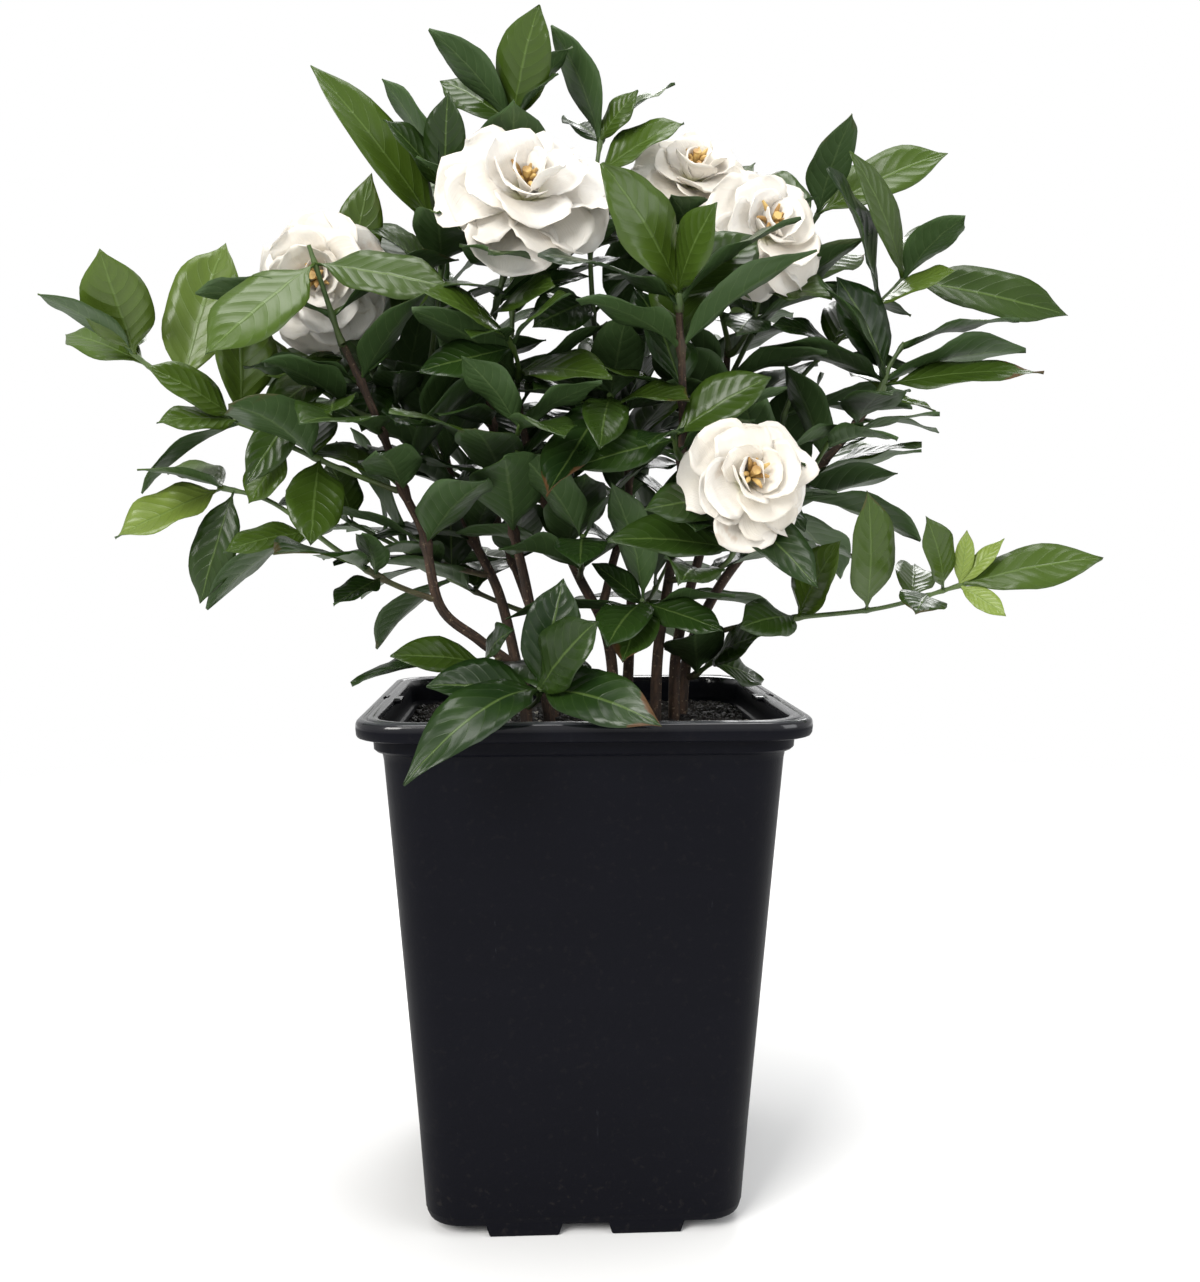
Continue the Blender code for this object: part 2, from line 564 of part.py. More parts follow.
def clear_scene():
    """Remove every object, mesh and curve of the start-up scene."""
    for thing in list(bpy.data.objects):
        bpy.data.objects.remove(thing, do_unlink=True)


def material(name, colour, roughness):
    """A plain material."""
    made = bpy.data.materials.new(name)
    made.use_nodes = True
    shader = made.node_tree.nodes["Principled BSDF"]
    shader.inputs["Base Color"].default_value = (*colour, 1.0)
    shader.inputs["Roughness"].default_value = roughness
    return made


def object_from(mesh, name, collection):
    """Turn an edit mesh in mm into an object in metres."""
    bmesh.ops.recalc_face_normals(mesh, faces=mesh.faces)
    bmesh.ops.scale(mesh, vec=(MM, MM, MM), verts=mesh.verts)
    data = bpy.data.meshes.new(name)
    mesh.to_mesh(data)
    mesh.free()
    made = bpy.data.objects.new(name, data)
    collection.objects.link(made)
    return made


def stem_object(stem, collection, name, extra=0.0):
    """A stem as a tube with closed ends."""
    curve = bpy.data.curves.new(name, "CURVE")
    curve.dimensions = "3D"
    curve.bevel_depth = MM
    curve.bevel_resolution = stem.sides // 2 - 2
    curve.use_fill_caps = True
    line = curve.splines.new("POLY")
    line.points.add(len(stem.route) - 1)
    for target, point, radius in zip(line.points, stem.route, stem.radii):
        target.co = (*(point * MM), 1.0)
        target.radius = radius + extra
    holder = bpy.data.objects.new(name + "_curve", curve)
    collection.objects.link(holder)
    data = bpy.data.meshes.new_from_object(holder.evaluated_get(bpy.context.evaluated_depsgraph_get()))
    bpy.data.objects.remove(holder, do_unlink=True)
    mesh = bmesh.new()
    mesh.from_mesh(data)
    bpy.data.meshes.remove(data)
    bmesh.ops.remove_doubles(mesh, verts=mesh.verts, dist=0.00001)
    bmesh.ops.scale(mesh, vec=(1 / MM, 1 / MM, 1 / MM), verts=mesh.verts)
    return object_from(mesh, name, collection)


def block(name, collection, low, high, bottom_half, top_half, corner):
    """An upright block with rounded corners that may widen from its bottom to its top."""
    mesh = bmesh.new()
    bmesh.ops.create_cube(mesh, size=2.0)
    bmesh.ops.scale(mesh, vec=(top_half[0], top_half[1], (high - low) * 0.5), verts=mesh.verts)
    bmesh.ops.translate(mesh, vec=(0, 0, (high + low) * 0.5), verts=mesh.verts)
    if corner:
        upright = [edge for edge in mesh.edges if abs(edge.verts[0].co.z - edge.verts[1].co.z) > 0.01]
        bmesh.ops.bevel(mesh, geom=upright, offset=corner, segments=CORNER_STEPS, profile=0.5, affect="EDGES")
    for vert in mesh.verts:
        if vert.co.z < (high + low) * 0.5:
            vert.co.x *= bottom_half[0] / top_half[0]
            vert.co.y *= bottom_half[1] / top_half[1]
    return object_from(mesh, name, collection)


def apply_modifiers(target):
    """Replace an object's mesh by the one its modifiers make."""
    graph = bpy.context.evaluated_depsgraph_get()
    data = bpy.data.meshes.new_from_object(target.evaluated_get(graph))
    target.modifiers.clear()
    old = target.data
    target.data = data
    bpy.data.meshes.remove(old)


def combine(target, others, operation):
    """Apply one exact Boolean with a group of other objects, then remove them."""
    group = bpy.data.collections.new(target.name + "_" + operation.lower())
    bpy.context.scene.collection.children.link(group)
    for other in others:
        group.objects.link(other)
        other.display_type = "WIRE"
        other.hide_render = True
    change = target.modifiers.new(operation.title(), "BOOLEAN")
    change.operation = operation
    change.solver = "EXACT"
    change.operand_type = "COLLECTION"
    change.collection = group
    change.use_self = operation == "UNION"
    apply_modifiers(target)
    for other in others:
        bpy.data.objects.remove(other, do_unlink=True)
    bpy.data.collections.remove(group)


def keep_outer_shell(target):
    """Fill the small hollows that crossing blades enclose, by keeping only the outermost surface."""
    mesh = bmesh.new()
    mesh.from_mesh(target.data)
    left = set(mesh.verts)
    shells = []
    while left:
        shell = {left.pop()}
        edge_of_search = list(shell)
        while edge_of_search:
            vert = edge_of_search.pop()
            for edge in vert.link_edges:
                other = edge.other_vert(vert)
                if other in left:
                    left.remove(other)
                    shell.add(other)
                    edge_of_search.append(other)
        shells.append(shell)
    shells.sort(key=len)
    for shell in shells[:-1]:
        bmesh.ops.delete(mesh, geom=list(shell), context="VERTS")
    mesh.to_mesh(target.data)
    mesh.free()


def finish(target, slot, smooth):
    """Give an object its material and its shading."""
    target.data.materials.clear()
    target.data.materials.append(slot)
    for face in target.data.polygons:
        face.use_smooth = smooth
        face.material_index = 0


def build_pot(parts, cutters):
    """The square pot: lip, collar, tapering body, feet, tabs, slots and drain holes in one moulding."""
    lip_low = POT_HEIGHT - LIP_HEIGHT
    collar_low = lip_low - COLLAR_HEIGHT
    pot = block("pot", parts, FOOT_HEIGHT, collar_low, (BODY_BOTTOM_HALF,) * 2, (BODY_TOP_HALF,) * 2,
                RIM_CORNER * 0.86)
    added = [block("collar", cutters, collar_low - 2.0, lip_low + 1.0, (COLLAR_HALF - 1.5,) * 2,
                   (COLLAR_HALF,) * 2, RIM_CORNER * 0.94)]
    added.append(block("lip", cutters, lip_low, POT_HEIGHT - 2.0, (RIM_HALF,) * 2, (RIM_HALF,) * 2, RIM_CORNER))
    added.append(block("bead", cutters, POT_HEIGHT - 2.6, POT_HEIGHT, (RIM_HALF,) * 2,
                       (RIM_HALF - 1.6,) * 2, RIM_CORNER))
    for side in (0, 1):
        for sign in (-1, 1):
            for place in (-FOOT_PLACE, FOOT_PLACE):
                size = (FOOT_SIZE[0] * 0.5, FOOT_SIZE[1] * 0.5) if side == 0 else (
                    FOOT_SIZE[1] * 0.5, FOOT_SIZE[0] * 0.5)
                foot = block("foot", cutters, 0.0, FOOT_HEIGHT + 1.0, (size[0] * 0.92, size[1] * 0.92), size, 0)
                out = sign * (BODY_BOTTOM_HALF - FOOT_SIZE[1] * 0.5 + 0.02)
                foot.location = Vector((place, out, 0.0) if side == 0 else (out, place, 0.0)) * MM
                added.append(foot)
    combine(pot, added, "UNION")
    inner_top = RIM_HALF - FLANGE
    removed = [block("hollow", cutters, FOOT_HEIGHT + WALL, collar_low + 1.0, (BODY_BOTTOM_HALF - WALL,) * 2,
                     (BODY_TOP_HALF - WALL,) * 2, RIM_CORNER * 0.80),
               block("mouth", cutters, collar_low + 0.4, POT_HEIGHT + 5.0, (inner_top - 0.4,) * 2,
                     (inner_top,) * 2, RIM_CORNER * 0.80)]
    for across in (-DRAIN_PLACE, DRAIN_PLACE):
        for along in (-DRAIN_PLACE, DRAIN_PLACE):
            mesh = bmesh.new()
            bmesh.ops.create_cone(mesh, cap_ends=True, segments=16, radius1=DRAIN_RADIUS, radius2=DRAIN_RADIUS,
                                  depth=30.0)
            bmesh.ops.translate(mesh, vec=(across, along, 5.0), verts=mesh.verts)
            removed.append(object_from(mesh, "drain", cutters))
    for sign in (-1, 1):
        half = (SLOT_SIZE[0] * 0.5, SLOT_SIZE[1] * 0.5)
        slot = block("slot", cutters, POT_HEIGHT - 5.0, POT_HEIGHT + 5.0, half, half, 0)
        slot.location = (sign * (RIM_HALF - FLANGE * 0.5) * MM, 0.0, 0.0)
        removed.append(slot)
    combine(pot, removed, "DIFFERENCE")
    tabs = []
    for sign in (-1, 1):
        half = (TAB_SIZE[0] * 0.5, TAB_SIZE[1] * 0.5)
        tab = block("tab", cutters, POT_HEIGHT - TAB_SIZE[2] - 0.6, POT_HEIGHT - 0.6, half, half, 0)
        tab.location = (sign * (inner_top - TAB_SIZE[0] * 0.5 + 1.2) * MM, 0.0, 0.0)
        tabs.append(tab)
    combine(pot, tabs, "UNION")
    return pot


def build_mix(parts, cutters, stems):
    """The potting mix: it fills the pot to its ledge, has a crumbly top and a socket for every cane."""
    low = FOOT_HEIGHT + WALL + SEAT_GAP
    inner = [BODY_BOTTOM_HALF - WALL - SEAT_GAP - 0.1, BODY_TOP_HALF - WALL - SEAT_GAP - 0.1]
    slope = (inner[1] - inner[0]) / (POT_HEIGHT - LIP_HEIGHT - COLLAR_HEIGHT - FOOT_HEIGHT)
    rng = random.Random(7)
    mix = block("potting_mix", parts, low, SOIL_TOP - 4.0, (inner[0],) * 2,
                (inner[0] + slope * (SOIL_TOP - 4.0 - low),) * 2, RIM_CORNER * 0.9)
    mesh = bmesh.new()
    bmesh.ops.create_grid(mesh, x_segments=SOIL_STEPS, y_segments=SOIL_STEPS, size=inner[1] * 0.93)
    for vert in mesh.verts:
        near = max(abs(vert.co.x), abs(vert.co.y)) / inner[1]
        vert.co.z = SOIL_TOP + rng.uniform(-SOIL_BUMP, SOIL_BUMP) - 2.0 * near ** 6
    bmesh.ops.solidify(mesh, geom=mesh.faces, thickness=7.0)
    crust = object_from(mesh, "crust", cutters)
    combine(mix, [crust], "UNION")
    sockets = []
    for name in CANES:
        stem = stems[name]
        sockets.append(stem_object(Stem(name, stem.route[:3], stem.radii[:3], 8), cutters, "socket", SEAT_GAP + 0.2))
        sockets[-1].location = (0.0, 0.0, -0.0004)
    combine(mix, sockets, "DIFFERENCE")
    return mix


def build():
    """Build every node."""
    clear_scene()
    parts = bpy.data.collections.new("potted_gardenia")
    cutters = bpy.data.collections.new("cutters")
    for group in (parts, cutters):
        bpy.context.scene.collection.children.link(group)
    cutters.hide_render = True
    stems, leaves, flowers = lay_out()
    slots = {name: material(name, colour, roughness) for name, (colour, roughness) in MATERIALS.items()}
    finish(build_pot(parts, cutters), slots["pot_plastic"], False)
    finish(build_mix(parts, cutters, stems), slots["potting_mix"], False)
    for name, stem in stems.items():
        made = stem_object(stem, parts, name)
        if leaves[name]:
            blades = [object_from(blade_mesh(leaf), "leaf", cutters) for leaf in leaves[name]]
            combine(made, blades, "UNION")
            keep_outer_shell(made)
        finish(made, slots["leafy_cane" if name.startswith("cane") else "leafy_shoot"], True)
    for name, (hub, axis, petals) in flowers.items():
        made = stem_object(Stem(name, [hub + axis * HUB[0][0], hub + axis * HUB[1][0]], (HUB[0][1], HUB[1][1]), 8),
                           parts, name)
        combine(made, [object_from(blade_mesh(petal), "petal", cutters) for petal in petals], "UNION")
        keep_outer_shell(made)
        finish(made, slots["petals"], True)
        club = [hub + axis * (HUB[1][0] + SEAT_GAP), hub + axis * 14.0, hub + axis * 19.0]
        made = stem_object(Stem("club", club, (1.2, 1.5, 2.2), 8), parts, name + "_centre")
        finish(made, slots["flower_centre"], True)


build()
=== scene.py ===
"""A gardenia shrub in a square black nursery pot: what shows, built around its solids."""

import math
import random
from collections import namedtuple

import bmesh
import bpy
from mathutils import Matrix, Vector, noise
from mathutils.bvhtree import BVHTree


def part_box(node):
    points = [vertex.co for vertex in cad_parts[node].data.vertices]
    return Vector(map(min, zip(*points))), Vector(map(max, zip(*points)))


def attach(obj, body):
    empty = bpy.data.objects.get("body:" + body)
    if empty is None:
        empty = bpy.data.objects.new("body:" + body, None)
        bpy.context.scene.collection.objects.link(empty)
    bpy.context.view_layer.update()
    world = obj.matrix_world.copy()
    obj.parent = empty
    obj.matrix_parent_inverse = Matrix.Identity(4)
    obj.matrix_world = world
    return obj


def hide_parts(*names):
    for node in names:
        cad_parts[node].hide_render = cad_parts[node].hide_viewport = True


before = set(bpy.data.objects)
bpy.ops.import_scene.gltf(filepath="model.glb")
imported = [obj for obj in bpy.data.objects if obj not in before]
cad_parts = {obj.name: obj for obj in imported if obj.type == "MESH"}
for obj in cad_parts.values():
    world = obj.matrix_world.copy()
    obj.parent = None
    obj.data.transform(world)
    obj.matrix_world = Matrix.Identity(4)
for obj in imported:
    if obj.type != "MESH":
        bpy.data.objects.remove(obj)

MM = 0.001
SEAT_GAP = 0.3

# Pot, in mm
POT_HEIGHT = 227.0
RIM_HALF = 95.0
FLANGE = 8.5
BODY_BOTTOM_HALF = 69.5
FOOT_SIZE = (34.0, 7.0)
FOOT_PLACE = 26.5
TAB_SIZE = (5.0, 13.0, 2.2)
SLOT_SIZE = (2.6, 10.0)

# Potting mix, in mm
SOIL_TOP = 213.5

# Stems, in mm
CANE_RADII = (3.1, 1.6)
FORK_RADII = (2.2, 1.6)
SHOOT_RADII = (1.35, 0.95)
CALYX_RADIUS = 2.6

# Blades: shares of the length where a blade is measured, and the half widths there as a share of the full one
BLADE_STATIONS = (0.0, 0.07, 0.47, 0.80, 1.0)
LEAF_OUTLINE = (0.0, 0.12, 1.0, 0.66, 0.0)
PETAL_OUTLINE = (0.0, 0.20, 0.84, 1.0, 0.0)
LEAF_THICKNESS = 1.0
PETAL_THICKNESS = 1.3
CLEARANCE = 0.45
ROOTING = 0.7
TAIL_START = 0.12
TAIL_GAP = 0.1
PETAL_CLEARANCE = 0.3
NAMED_LEAF_PLAY = 0.55
FREE_LEAF_ARCH = 0.12
LOWEST_LEAF = 150.0
SPREAD = (239.0, 129.0, 535.0)
SHOWN_TOWARD = (0.0, -0.78, 0.62)

# ---------------------------------------------------------------- the plant's plan

# Canes: the route of each from its socket upwards, as (x, y, z) in mm.
CANES = {
    "cane_left_limb": [(-25, -9, 187), (-25, -9, 213), (-28, -11, 238), (-46, -14, 254), (-64, -16, 270),
                       (-71, -20, 303), (-79, -22, 321), (-88, -25, 347), (-95, -28, 365), (-104, -31, 385)],
    "cane_left_tall": [(-14, -3, 187), (-14, -3, 213), (-19, -6, 245), (-25, -9, 279), (-31, -12, 306),
                       (-36, -14, 332), (-41, -16, 362), (-41, -17, 388)],
    "cane_left_back": [(-25, 7, 187), (-25, 7, 213), (-31, 15, 245), (-39, 22, 276), (-53, 28, 305),
                       (-62, 30, 332), (-68, 30, 360), (-70, 27, 385)],
    "cane_middle": [(16, 11, 187), (16, 11, 213), (16, 10, 240), (11, 9, 262), (0, 7, 283),
                    (-12, 5, 310), (-21, 3, 333), (-27, 0, 356), (-31, -4, 374)],
    "cane_centre": [(35, -11, 187), (35, -11, 213), (36, -14, 250), (41, -22, 290), (44, -34, 330),
                    (43, -46, 365), (40, -58, 396)],
    "cane_right": [(45, 0, 187), (45, 0, 213), (46, 3, 245), (52, 8, 272), (59, 12, 296), (66, 15, 328),
                   (70, 15, 362), (71, 11, 390)],
    "cane_far_right": [(50, 13, 187), (50, 13, 213), (54, 17, 246), (68, 19, 276), (87, 17, 302),
                       (105, 14, 325), (125, 9, 346), (141, 4, 368)],
    "cane_back_middle": [(24, 24, 187), (24, 24, 213), (26, 32, 250), (28, 46, 292), (24, 58, 334),
                         (18, 66, 372)],
    "cane_back_left": [(-12, 17, 187), (-12, 17, 213), (-18, 27, 250), (-32, 44, 290), (-48, 58, 328),
                       (-58, 66, 362)],
}

# Shoots: the stem that carries each, its own route in mm and its leaves, and for some its arch last. A leaf is
# (share of the route, tip, width). "more" is how many further leaf pairs follow the rule of the species, and
# "whorl" how many leaves close the tip.
SHOOTS = {
    "shoot_far_left": dict(
        on="cane_left_limb", route=[(-79, -22, 321), (-112, -22, 334), (-140, -22, 347), (-174, -22, 364),
                                    (-198, -22, 383)],
        leaves=[(1.0, (-201, -50, 421), 29), (0.93, (-237, 10, 395), 22), (0.78, (-160, -4, 434), 30),
                (0.60, (-184, -48, 373), 20), (0.58, (-179, -52, 349), 17), (0.27, (-116, -52, 298), 25),
                (0.40, (-150, -20, 318), 20), (0.44, (-128, 8, 378), 24)], more=2, whorl=2),
    "shoot_left_stub": dict(
        on="cane_left_limb", route=[(-104, -31, 388), (-112, -36, 410), (-117, -38, 426)],
        leaves=[(0.78, (-152, -76, 374), 30), (0.82, (-55, -54, 405), 24)], more=1, whorl=0),
    "shoot_flower_left": dict(
        on="cane_left_back", route=[(-63, 30, 336), (-88, 18, 366), (-104, 8, 392), (-110, 2, 406)],
        leaves=[(0.45, (-92, -30, 352), 22), (0.75, (-94, -4, 466), 22), (0.6, (-139, -40, 352), 21),
                (0.55, (-130, 40, 384), 24)], more=3, whorl=0),
    "shoot_low_left": dict(
        on="cane_left_limb", route=[(-66, -17, 272), (-88, -20, 282), (-110, -20, 296), (-138, -20, 317),
                                    (-162, -20, 324)],
        leaves=[(1.0, (-202, -38, 301), 24), (0.93, (-170, -24, 272), 20), (0.55, (-153, -50, 295), 17),
                (0.24, (-94, -54, 303), 15), (0.22, (-108, -44, 272), 16), (0.85, (-136, -40, 345), 20)],
        more=2, whorl=2),
    "shoot_upper_left": dict(
        on="cane_left_back", route=[(-70, 27, 388), (-66, 16, 415), (-62, 5, 440), (-61, -3, 460)],
        leaves=[(0.72, (-119, -14, 509), 25), (1.0, (-58, -20, 497), 20), (1.0, (-86, -22, 484), 20),
                (0.5, (-96, -6, 440), 24), (0.5, (-104, 30, 452), 22)], more=2, whorl=2),
    "shoot_flower_top": dict(
        on="cane_left_tall", route=[(-41, -17, 391), (-36, -18, 412), (-30, -22, 430), (-27, -30, 441)],
        leaves=[(0.2, (-12, -62, 405), 24), (0.35, (-58, -64, 404), 24), (0.3, (4, -10, 420), 23)],
        more=3, whorl=0),
    "shoot_crown": dict(
        on="cane_middle", route=[(-31, -4, 377), (-31, 8, 410), (-31, 10, 450), (-30, 0, 480),
                                (-30, -6, 490)],
        leaves=[(1.0, (-18, -32, 530), 26), (1.0, (-10, -30, 502), 20), (1.0, (-64, 10, 512), 20),
                (0.62, (0, 40, 470), 22), (0.62, (-74, 34, 470), 22)], more=2, whorl=2),
    "shoot_crown_right": dict(
        on="cane_right_fork", route=[(10, 0, 374), (6, -4, 410), (5, -6, 440), (8, -4, 470), (10, -3, 484)],
        leaves=[(0.85, (47, -14, 487), 22), (1.0, (26, -14, 501), 14), (1.0, (-4, 20, 498), 20),
                (0.55, (36, 30, 452), 22), (0.35, (-18, -48, 396), 22)], more=2, whorl=2),
    "shoot_flower_upper_right": dict(
        on="cane_right", route=[(71, 11, 393), (66, 14, 416), (58, 14, 440), (54, 10, 456)],
        leaves=[(0.4, (104, 46, 452), 22), (0.5, (24, 36, 450), 22), (0.75, (86, 26, 482), 18)],
        more=3, whorl=0),
    "shoot_flower_right": dict(
        on="cane_right", route=[(70, 12, 385), (80, 2, 400), (84, -4, 418), (84, -8, 430)],
        leaves=[(0.35, (49, -48, 443), 28), (0.5, (112, -28, 408), 22), (0.3, (66, -48, 388), 22)],
        more=2, whorl=0),
    "shoot_right_top": dict(
        on="cane_far_right", route=[(100, 15, 320), (98, 18, 350), (106, 16, 376), (124, 12, 395),
                                    (140, 8, 410), (155, 5, 425)],
        leaves=[(0.97, (120, -24, 473), 21), (1.0, (226, -12, 404), 25), (0.86, (116, -40, 463), 31),
                (0.84, (166, -34, 419), 18), (0.62, (88, -14, 398), 17), (0.6, (144, 60, 420), 24)],
        more=2, whorl=2),
    "shoot_right_back": dict(
        on="cane_right", route=[(70, 15, 374), (86, 26, 402), (102, 26, 432), (117, 22, 459)],
        leaves=[(1.0, (175, 10, 483), 25), (0.9, (92, 60, 486), 24), (0.6, (150, 64, 448), 24)],
        more=2, whorl=2),
    "shoot_right_middle": dict(
        on="cane_far_right", route=[(141, 4, 371), (146, 2, 381), (153, 0, 393)],
        leaves=[(0.3, (101, -32, 414), 19), (0.4, (118, -10, 421), 25), (0.2, (213, -18, 377), 21),
                (0.05, (159, -30, 358), 10), (0.1, (150, 56, 388), 24)], more=1, whorl=2),
    "shoot_low_right": dict(
        on="cane_right", route=[(47, 3, 250), (72, -4, 259), (100, -10, 264), (141, -14, 269),
                                (178, -18, 280)],
        leaves=[(0.42, (114, -42, 300), 22), (0.66, (126, -40, 322), 25), (0.80, (166, 22, 288), 20),
                (0.86, (146, -48, 268), 22), (0.93, (153, -38, 311), 17), (1.0, (238, -30, 292), 23),
                (0.98, (192, -34, 266), 11), (0.40, (68, -50, 262), 22), (1.0, (178, -20, 305), 9),
                (1.0, (195, -22, 301), 9)], more=0, whorl=0),
    "shoot_flower_front": dict(
        on="cane_centre", route=[(40, -21, 282), (50, -40, 284), (64, -54, 294), (68, -60, 302)],
        leaves=[(0.95, (35, -104, 338), 28), (0.55, (9, -76, 300), 23), (0.8, (28, -88, 312), 20),
                (0.9, (114, -90, 331), 18), (0.8, (95, -90, 284), 22)], more=2, whorl=0),
    "shoot_basal_front": dict(
        on="cane_left_limb", route=[(-26, -12, 226), (-24, -34, 226), (-20, -58, 232), (-19, -70, 238)],
        leaves=[(1.0, (-9, -66, 284), 24), (0.96, (4, -96, 268), 27), (0.9, (-66, -74, 240), 25),
                (1.0, (-70, -127, 209), 24, 0.34), (1.0, (28, -112, 228), 24, 0.2)], more=1, whorl=0),
    "shoot_inner_left": dict(
        on="cane_left_limb", route=[(-91, -26, 352), (-108, -18, 362), (-126, -14, 374)],
        leaves=[(0.8, (-147, -34, 324), 19), (0.9, (-172, -2, 394), 22), (0.5, (-104, -66, 352), 23)],
        more=2, whorl=2),
    "shoot_middle_front": dict(
        on="cane_middle", route=[(-29, -3, 366), (-28, -24, 378), (-32, -40, 388)],
        leaves=[(1.0, (-60, -78, 404), 25), (0.9, (-6, -78, 399), 18), (0.4, (12, -58, 368), 23),
                (0.8, (-70, -44, 372), 22)], more=1, whorl=2),
    "shoot_centre_spur": dict(
        on="cane_right_fork", route=[(18, 0, 353), (16, -18, 360), (12, -34, 364)],
        leaves=[(0.9, (-16, -70, 318), 25), (1.0, (-8, -72, 378), 22), (0.7, (44, -64, 358), 22)],
        more=1, whorl=2),
    "shoot_centre_top": dict(
        on="cane_centre", route=[(40, -58, 399), (40, -60, 406)],
        leaves=[(0.9, (6, -86, 448), 29), (1.0, (51, -92, 432), 23), (0.5, (76, -44, 430), 24)],
        more=1, whorl=2),
    "shoot_centre_middle": dict(
        on="cane_centre", route=[(44, -35, 335), (40, -48, 340), (38, -56, 346)],
        leaves=[(0.7, (-6, -64, 330), 22), (0.95, (20, -76, 386), 20), (0.9, (78, -64, 368), 23)],
        more=1, whorl=2),
    "shoot_centre_low": dict(
        on="cane_centre", route=[(38, -17, 265), (30, -32, 268), (26, -42, 274)],
        leaves=[(0.9, (15, -78, 250), 21), (0.8, (4, -40, 290), 14), (0.95, (58, -68, 262), 18)],
        more=1, whorl=2),
    "shoot_right_base": dict(
        on="cane_far_right", route=[(52, 15, 232), (62, 8, 240), (66, 4, 244)],
        leaves=[(0.9, (84, -24, 262), 22), (0.9, (92, 18, 228), 22)], more=1, whorl=0),
    "shoot_limb_spur": dict(
        on="cane_left_limb", route=[(-36, -12, 246), (-42, -24, 244), (-46, -30, 246)],
        leaves=[(0.9, (-84, -44, 250), 18), (0.9, (-30, -58, 262), 16)], more=1, whorl=0),
}

# Shoots that follow the species' rule alone: the cane, the share of its height, the compass angle, the rise
# above the horizon, the stem's length in mm, its leaf pairs and the leaves that close its tip.
FREE_SHOOTS = {
    "shoot_back_low_left": ("cane_back_left", 0.42, 160, 22, 88, 3, 3),
    "shoot_back_left": ("cane_back_left", 0.80, 182, 30, 74, 2, 4),
    "shoot_back_left_tip": ("cane_back_left", 1.0, 130, 66, 60, 2, 4),
    "shoot_back_middle": ("cane_back_middle", 0.72, 96, 44, 58, 2, 4),
    "shoot_back_middle_tip": ("cane_back_middle", 1.0, 70, 72, 74, 2, 4),
    "shoot_back_low": ("cane_back_middle", 0.38, 62, 26, 60, 2, 4),
    "shoot_back_right": ("cane_back_middle", 0.86, 12, 40, 88, 3, 3),
    "shoot_side_right": ("cane_far_right", 0.55, 52, 28, 80, 3, 3),
    "shoot_side_left": ("cane_left_back", 0.48, 178, 16, 72, 2, 3),
    "shoot_left_inside": ("cane_left_back", 0.72, 250, 30, 42, 1, 3),
    "shoot_tall_inside": ("cane_left_tall", 0.72, 285, 22, 38, 1, 3),
    "shoot_middle_inside": ("cane_middle", 0.50, 270, 24, 40, 1, 3),
    "shoot_right_inside": ("cane_right", 0.62, 300, 24, 44, 2, 3),
    "shoot_right_front": ("cane_far_right", 0.72, 285, 26, 40, 1, 3),
}

# Canes carry whorls of leaves of their own at these shares of their height.
CANE_WHORLS = (0.58, 0.70, 0.82, 0.93)

# The fork of the right cane leaves the middle one.
FORKS = {"cane_right_fork": ("cane_middle", [(10, 9, 264), (16, 3, 290), (22, 1, 312), (23, 0, 332),
                                             (18, 0, 352), (11, 0, 370)])}

# Flowers: the shoot that carries each, the middle of the flower, the way it faces and its width, in mm.
FLOWERS = {
    "flower_top": ("shoot_flower_top", (-24, -50, 450), (0.05, -0.78, 0.50), 70),
    "flower_left": ("shoot_flower_left", (-117, -14, 417), (-0.15, -0.95, -0.05), 58),
    "flower_upper_right": ("shoot_flower_upper_right", (53, -2, 470), (0.05, -0.72, 0.64), 56),
    "flower_right": ("shoot_flower_right", (84, -24, 440), (0.22, -0.90, 0.25), 58),
    "flower_front": ("shoot_flower_front", (67, -76, 326), (0.15, -0.92, 0.22), 54),
}

# Petals of the solids, which leaves keep clear of: how many in each ring, the turn of the ring, the angle from
# the flower's axis at the base and at the tip, the length as a share of the flower's width, the width as a share
# of the length, and the place on the hub.
PETAL_RINGS = (
    (6, 0.0, 68, 104, 0.52, 0.62, 0.0),
    (5, 0.45, 52, 84, 0.46, 0.66, 2.4),
    (4, 0.15, 36, 56, 0.38, 0.62, 4.2),
)
HUB_BACK = -4.0
CALYX_LENGTH = 17.0


# ---------------------------------------------------------------- laying out the plant, in mm

Blade = namedtuple("Blade", "base control tip face width outline thickness")
Stem = namedtuple("Stem", "route radii")


def quad_point(blade, share):
    """The middle of a blade at a share of its length."""
    rest = 1.0 - share
    return blade.base * rest * rest + blade.control * 2.0 * rest * share + blade.tip * share * share


def quad_heading(blade, share):
    """The direction a blade runs in at a share of its length."""
    return ((blade.control - blade.base) * (1.0 - share) + (blade.tip - blade.control) * share).normalized()


def leaf_blade(base, tip, width, toward, arch):
    """A leaf from its base to its tip that shows its upper side to a given direction and arches over."""
    chord = tip - base
    heading = chord.normalized()
    base = base - heading * ROOTING
    chord = tip - base
    face = (toward - heading * toward.dot(heading)).normalized()
    control = base + chord * 0.5 + face * chord.length * arch
    return Blade(base, control, tip, face, width, LEAF_OUTLINE, LEAF_THICKNESS)


def route_lengths(route):
    """The distance along a route at each of its points."""
    lengths = [0.0]
    for start, end in zip(route, route[1:]):
        lengths.append(lengths[-1] + (end - start).length)
    return lengths


def route_point(route, share):
    """The point and heading at a share of a route's length."""
    lengths = route_lengths(route)
    wanted = share * lengths[-1]
    for index in range(len(route) - 1):
        if wanted <= lengths[index + 1] or index == len(route) - 2:
            span = route[index + 1] - route[index]
            return route[index] + span * ((wanted - lengths[index]) / span.length), span.normalized()


def leaf_base(route, share):
    """Where a leaf leaves a stem, and the stem's heading there: always a little short of the stem's end."""
    length = route_lengths(route)[-1]
    return route_point(route, min(share, 1.0 - 1.8 / length))


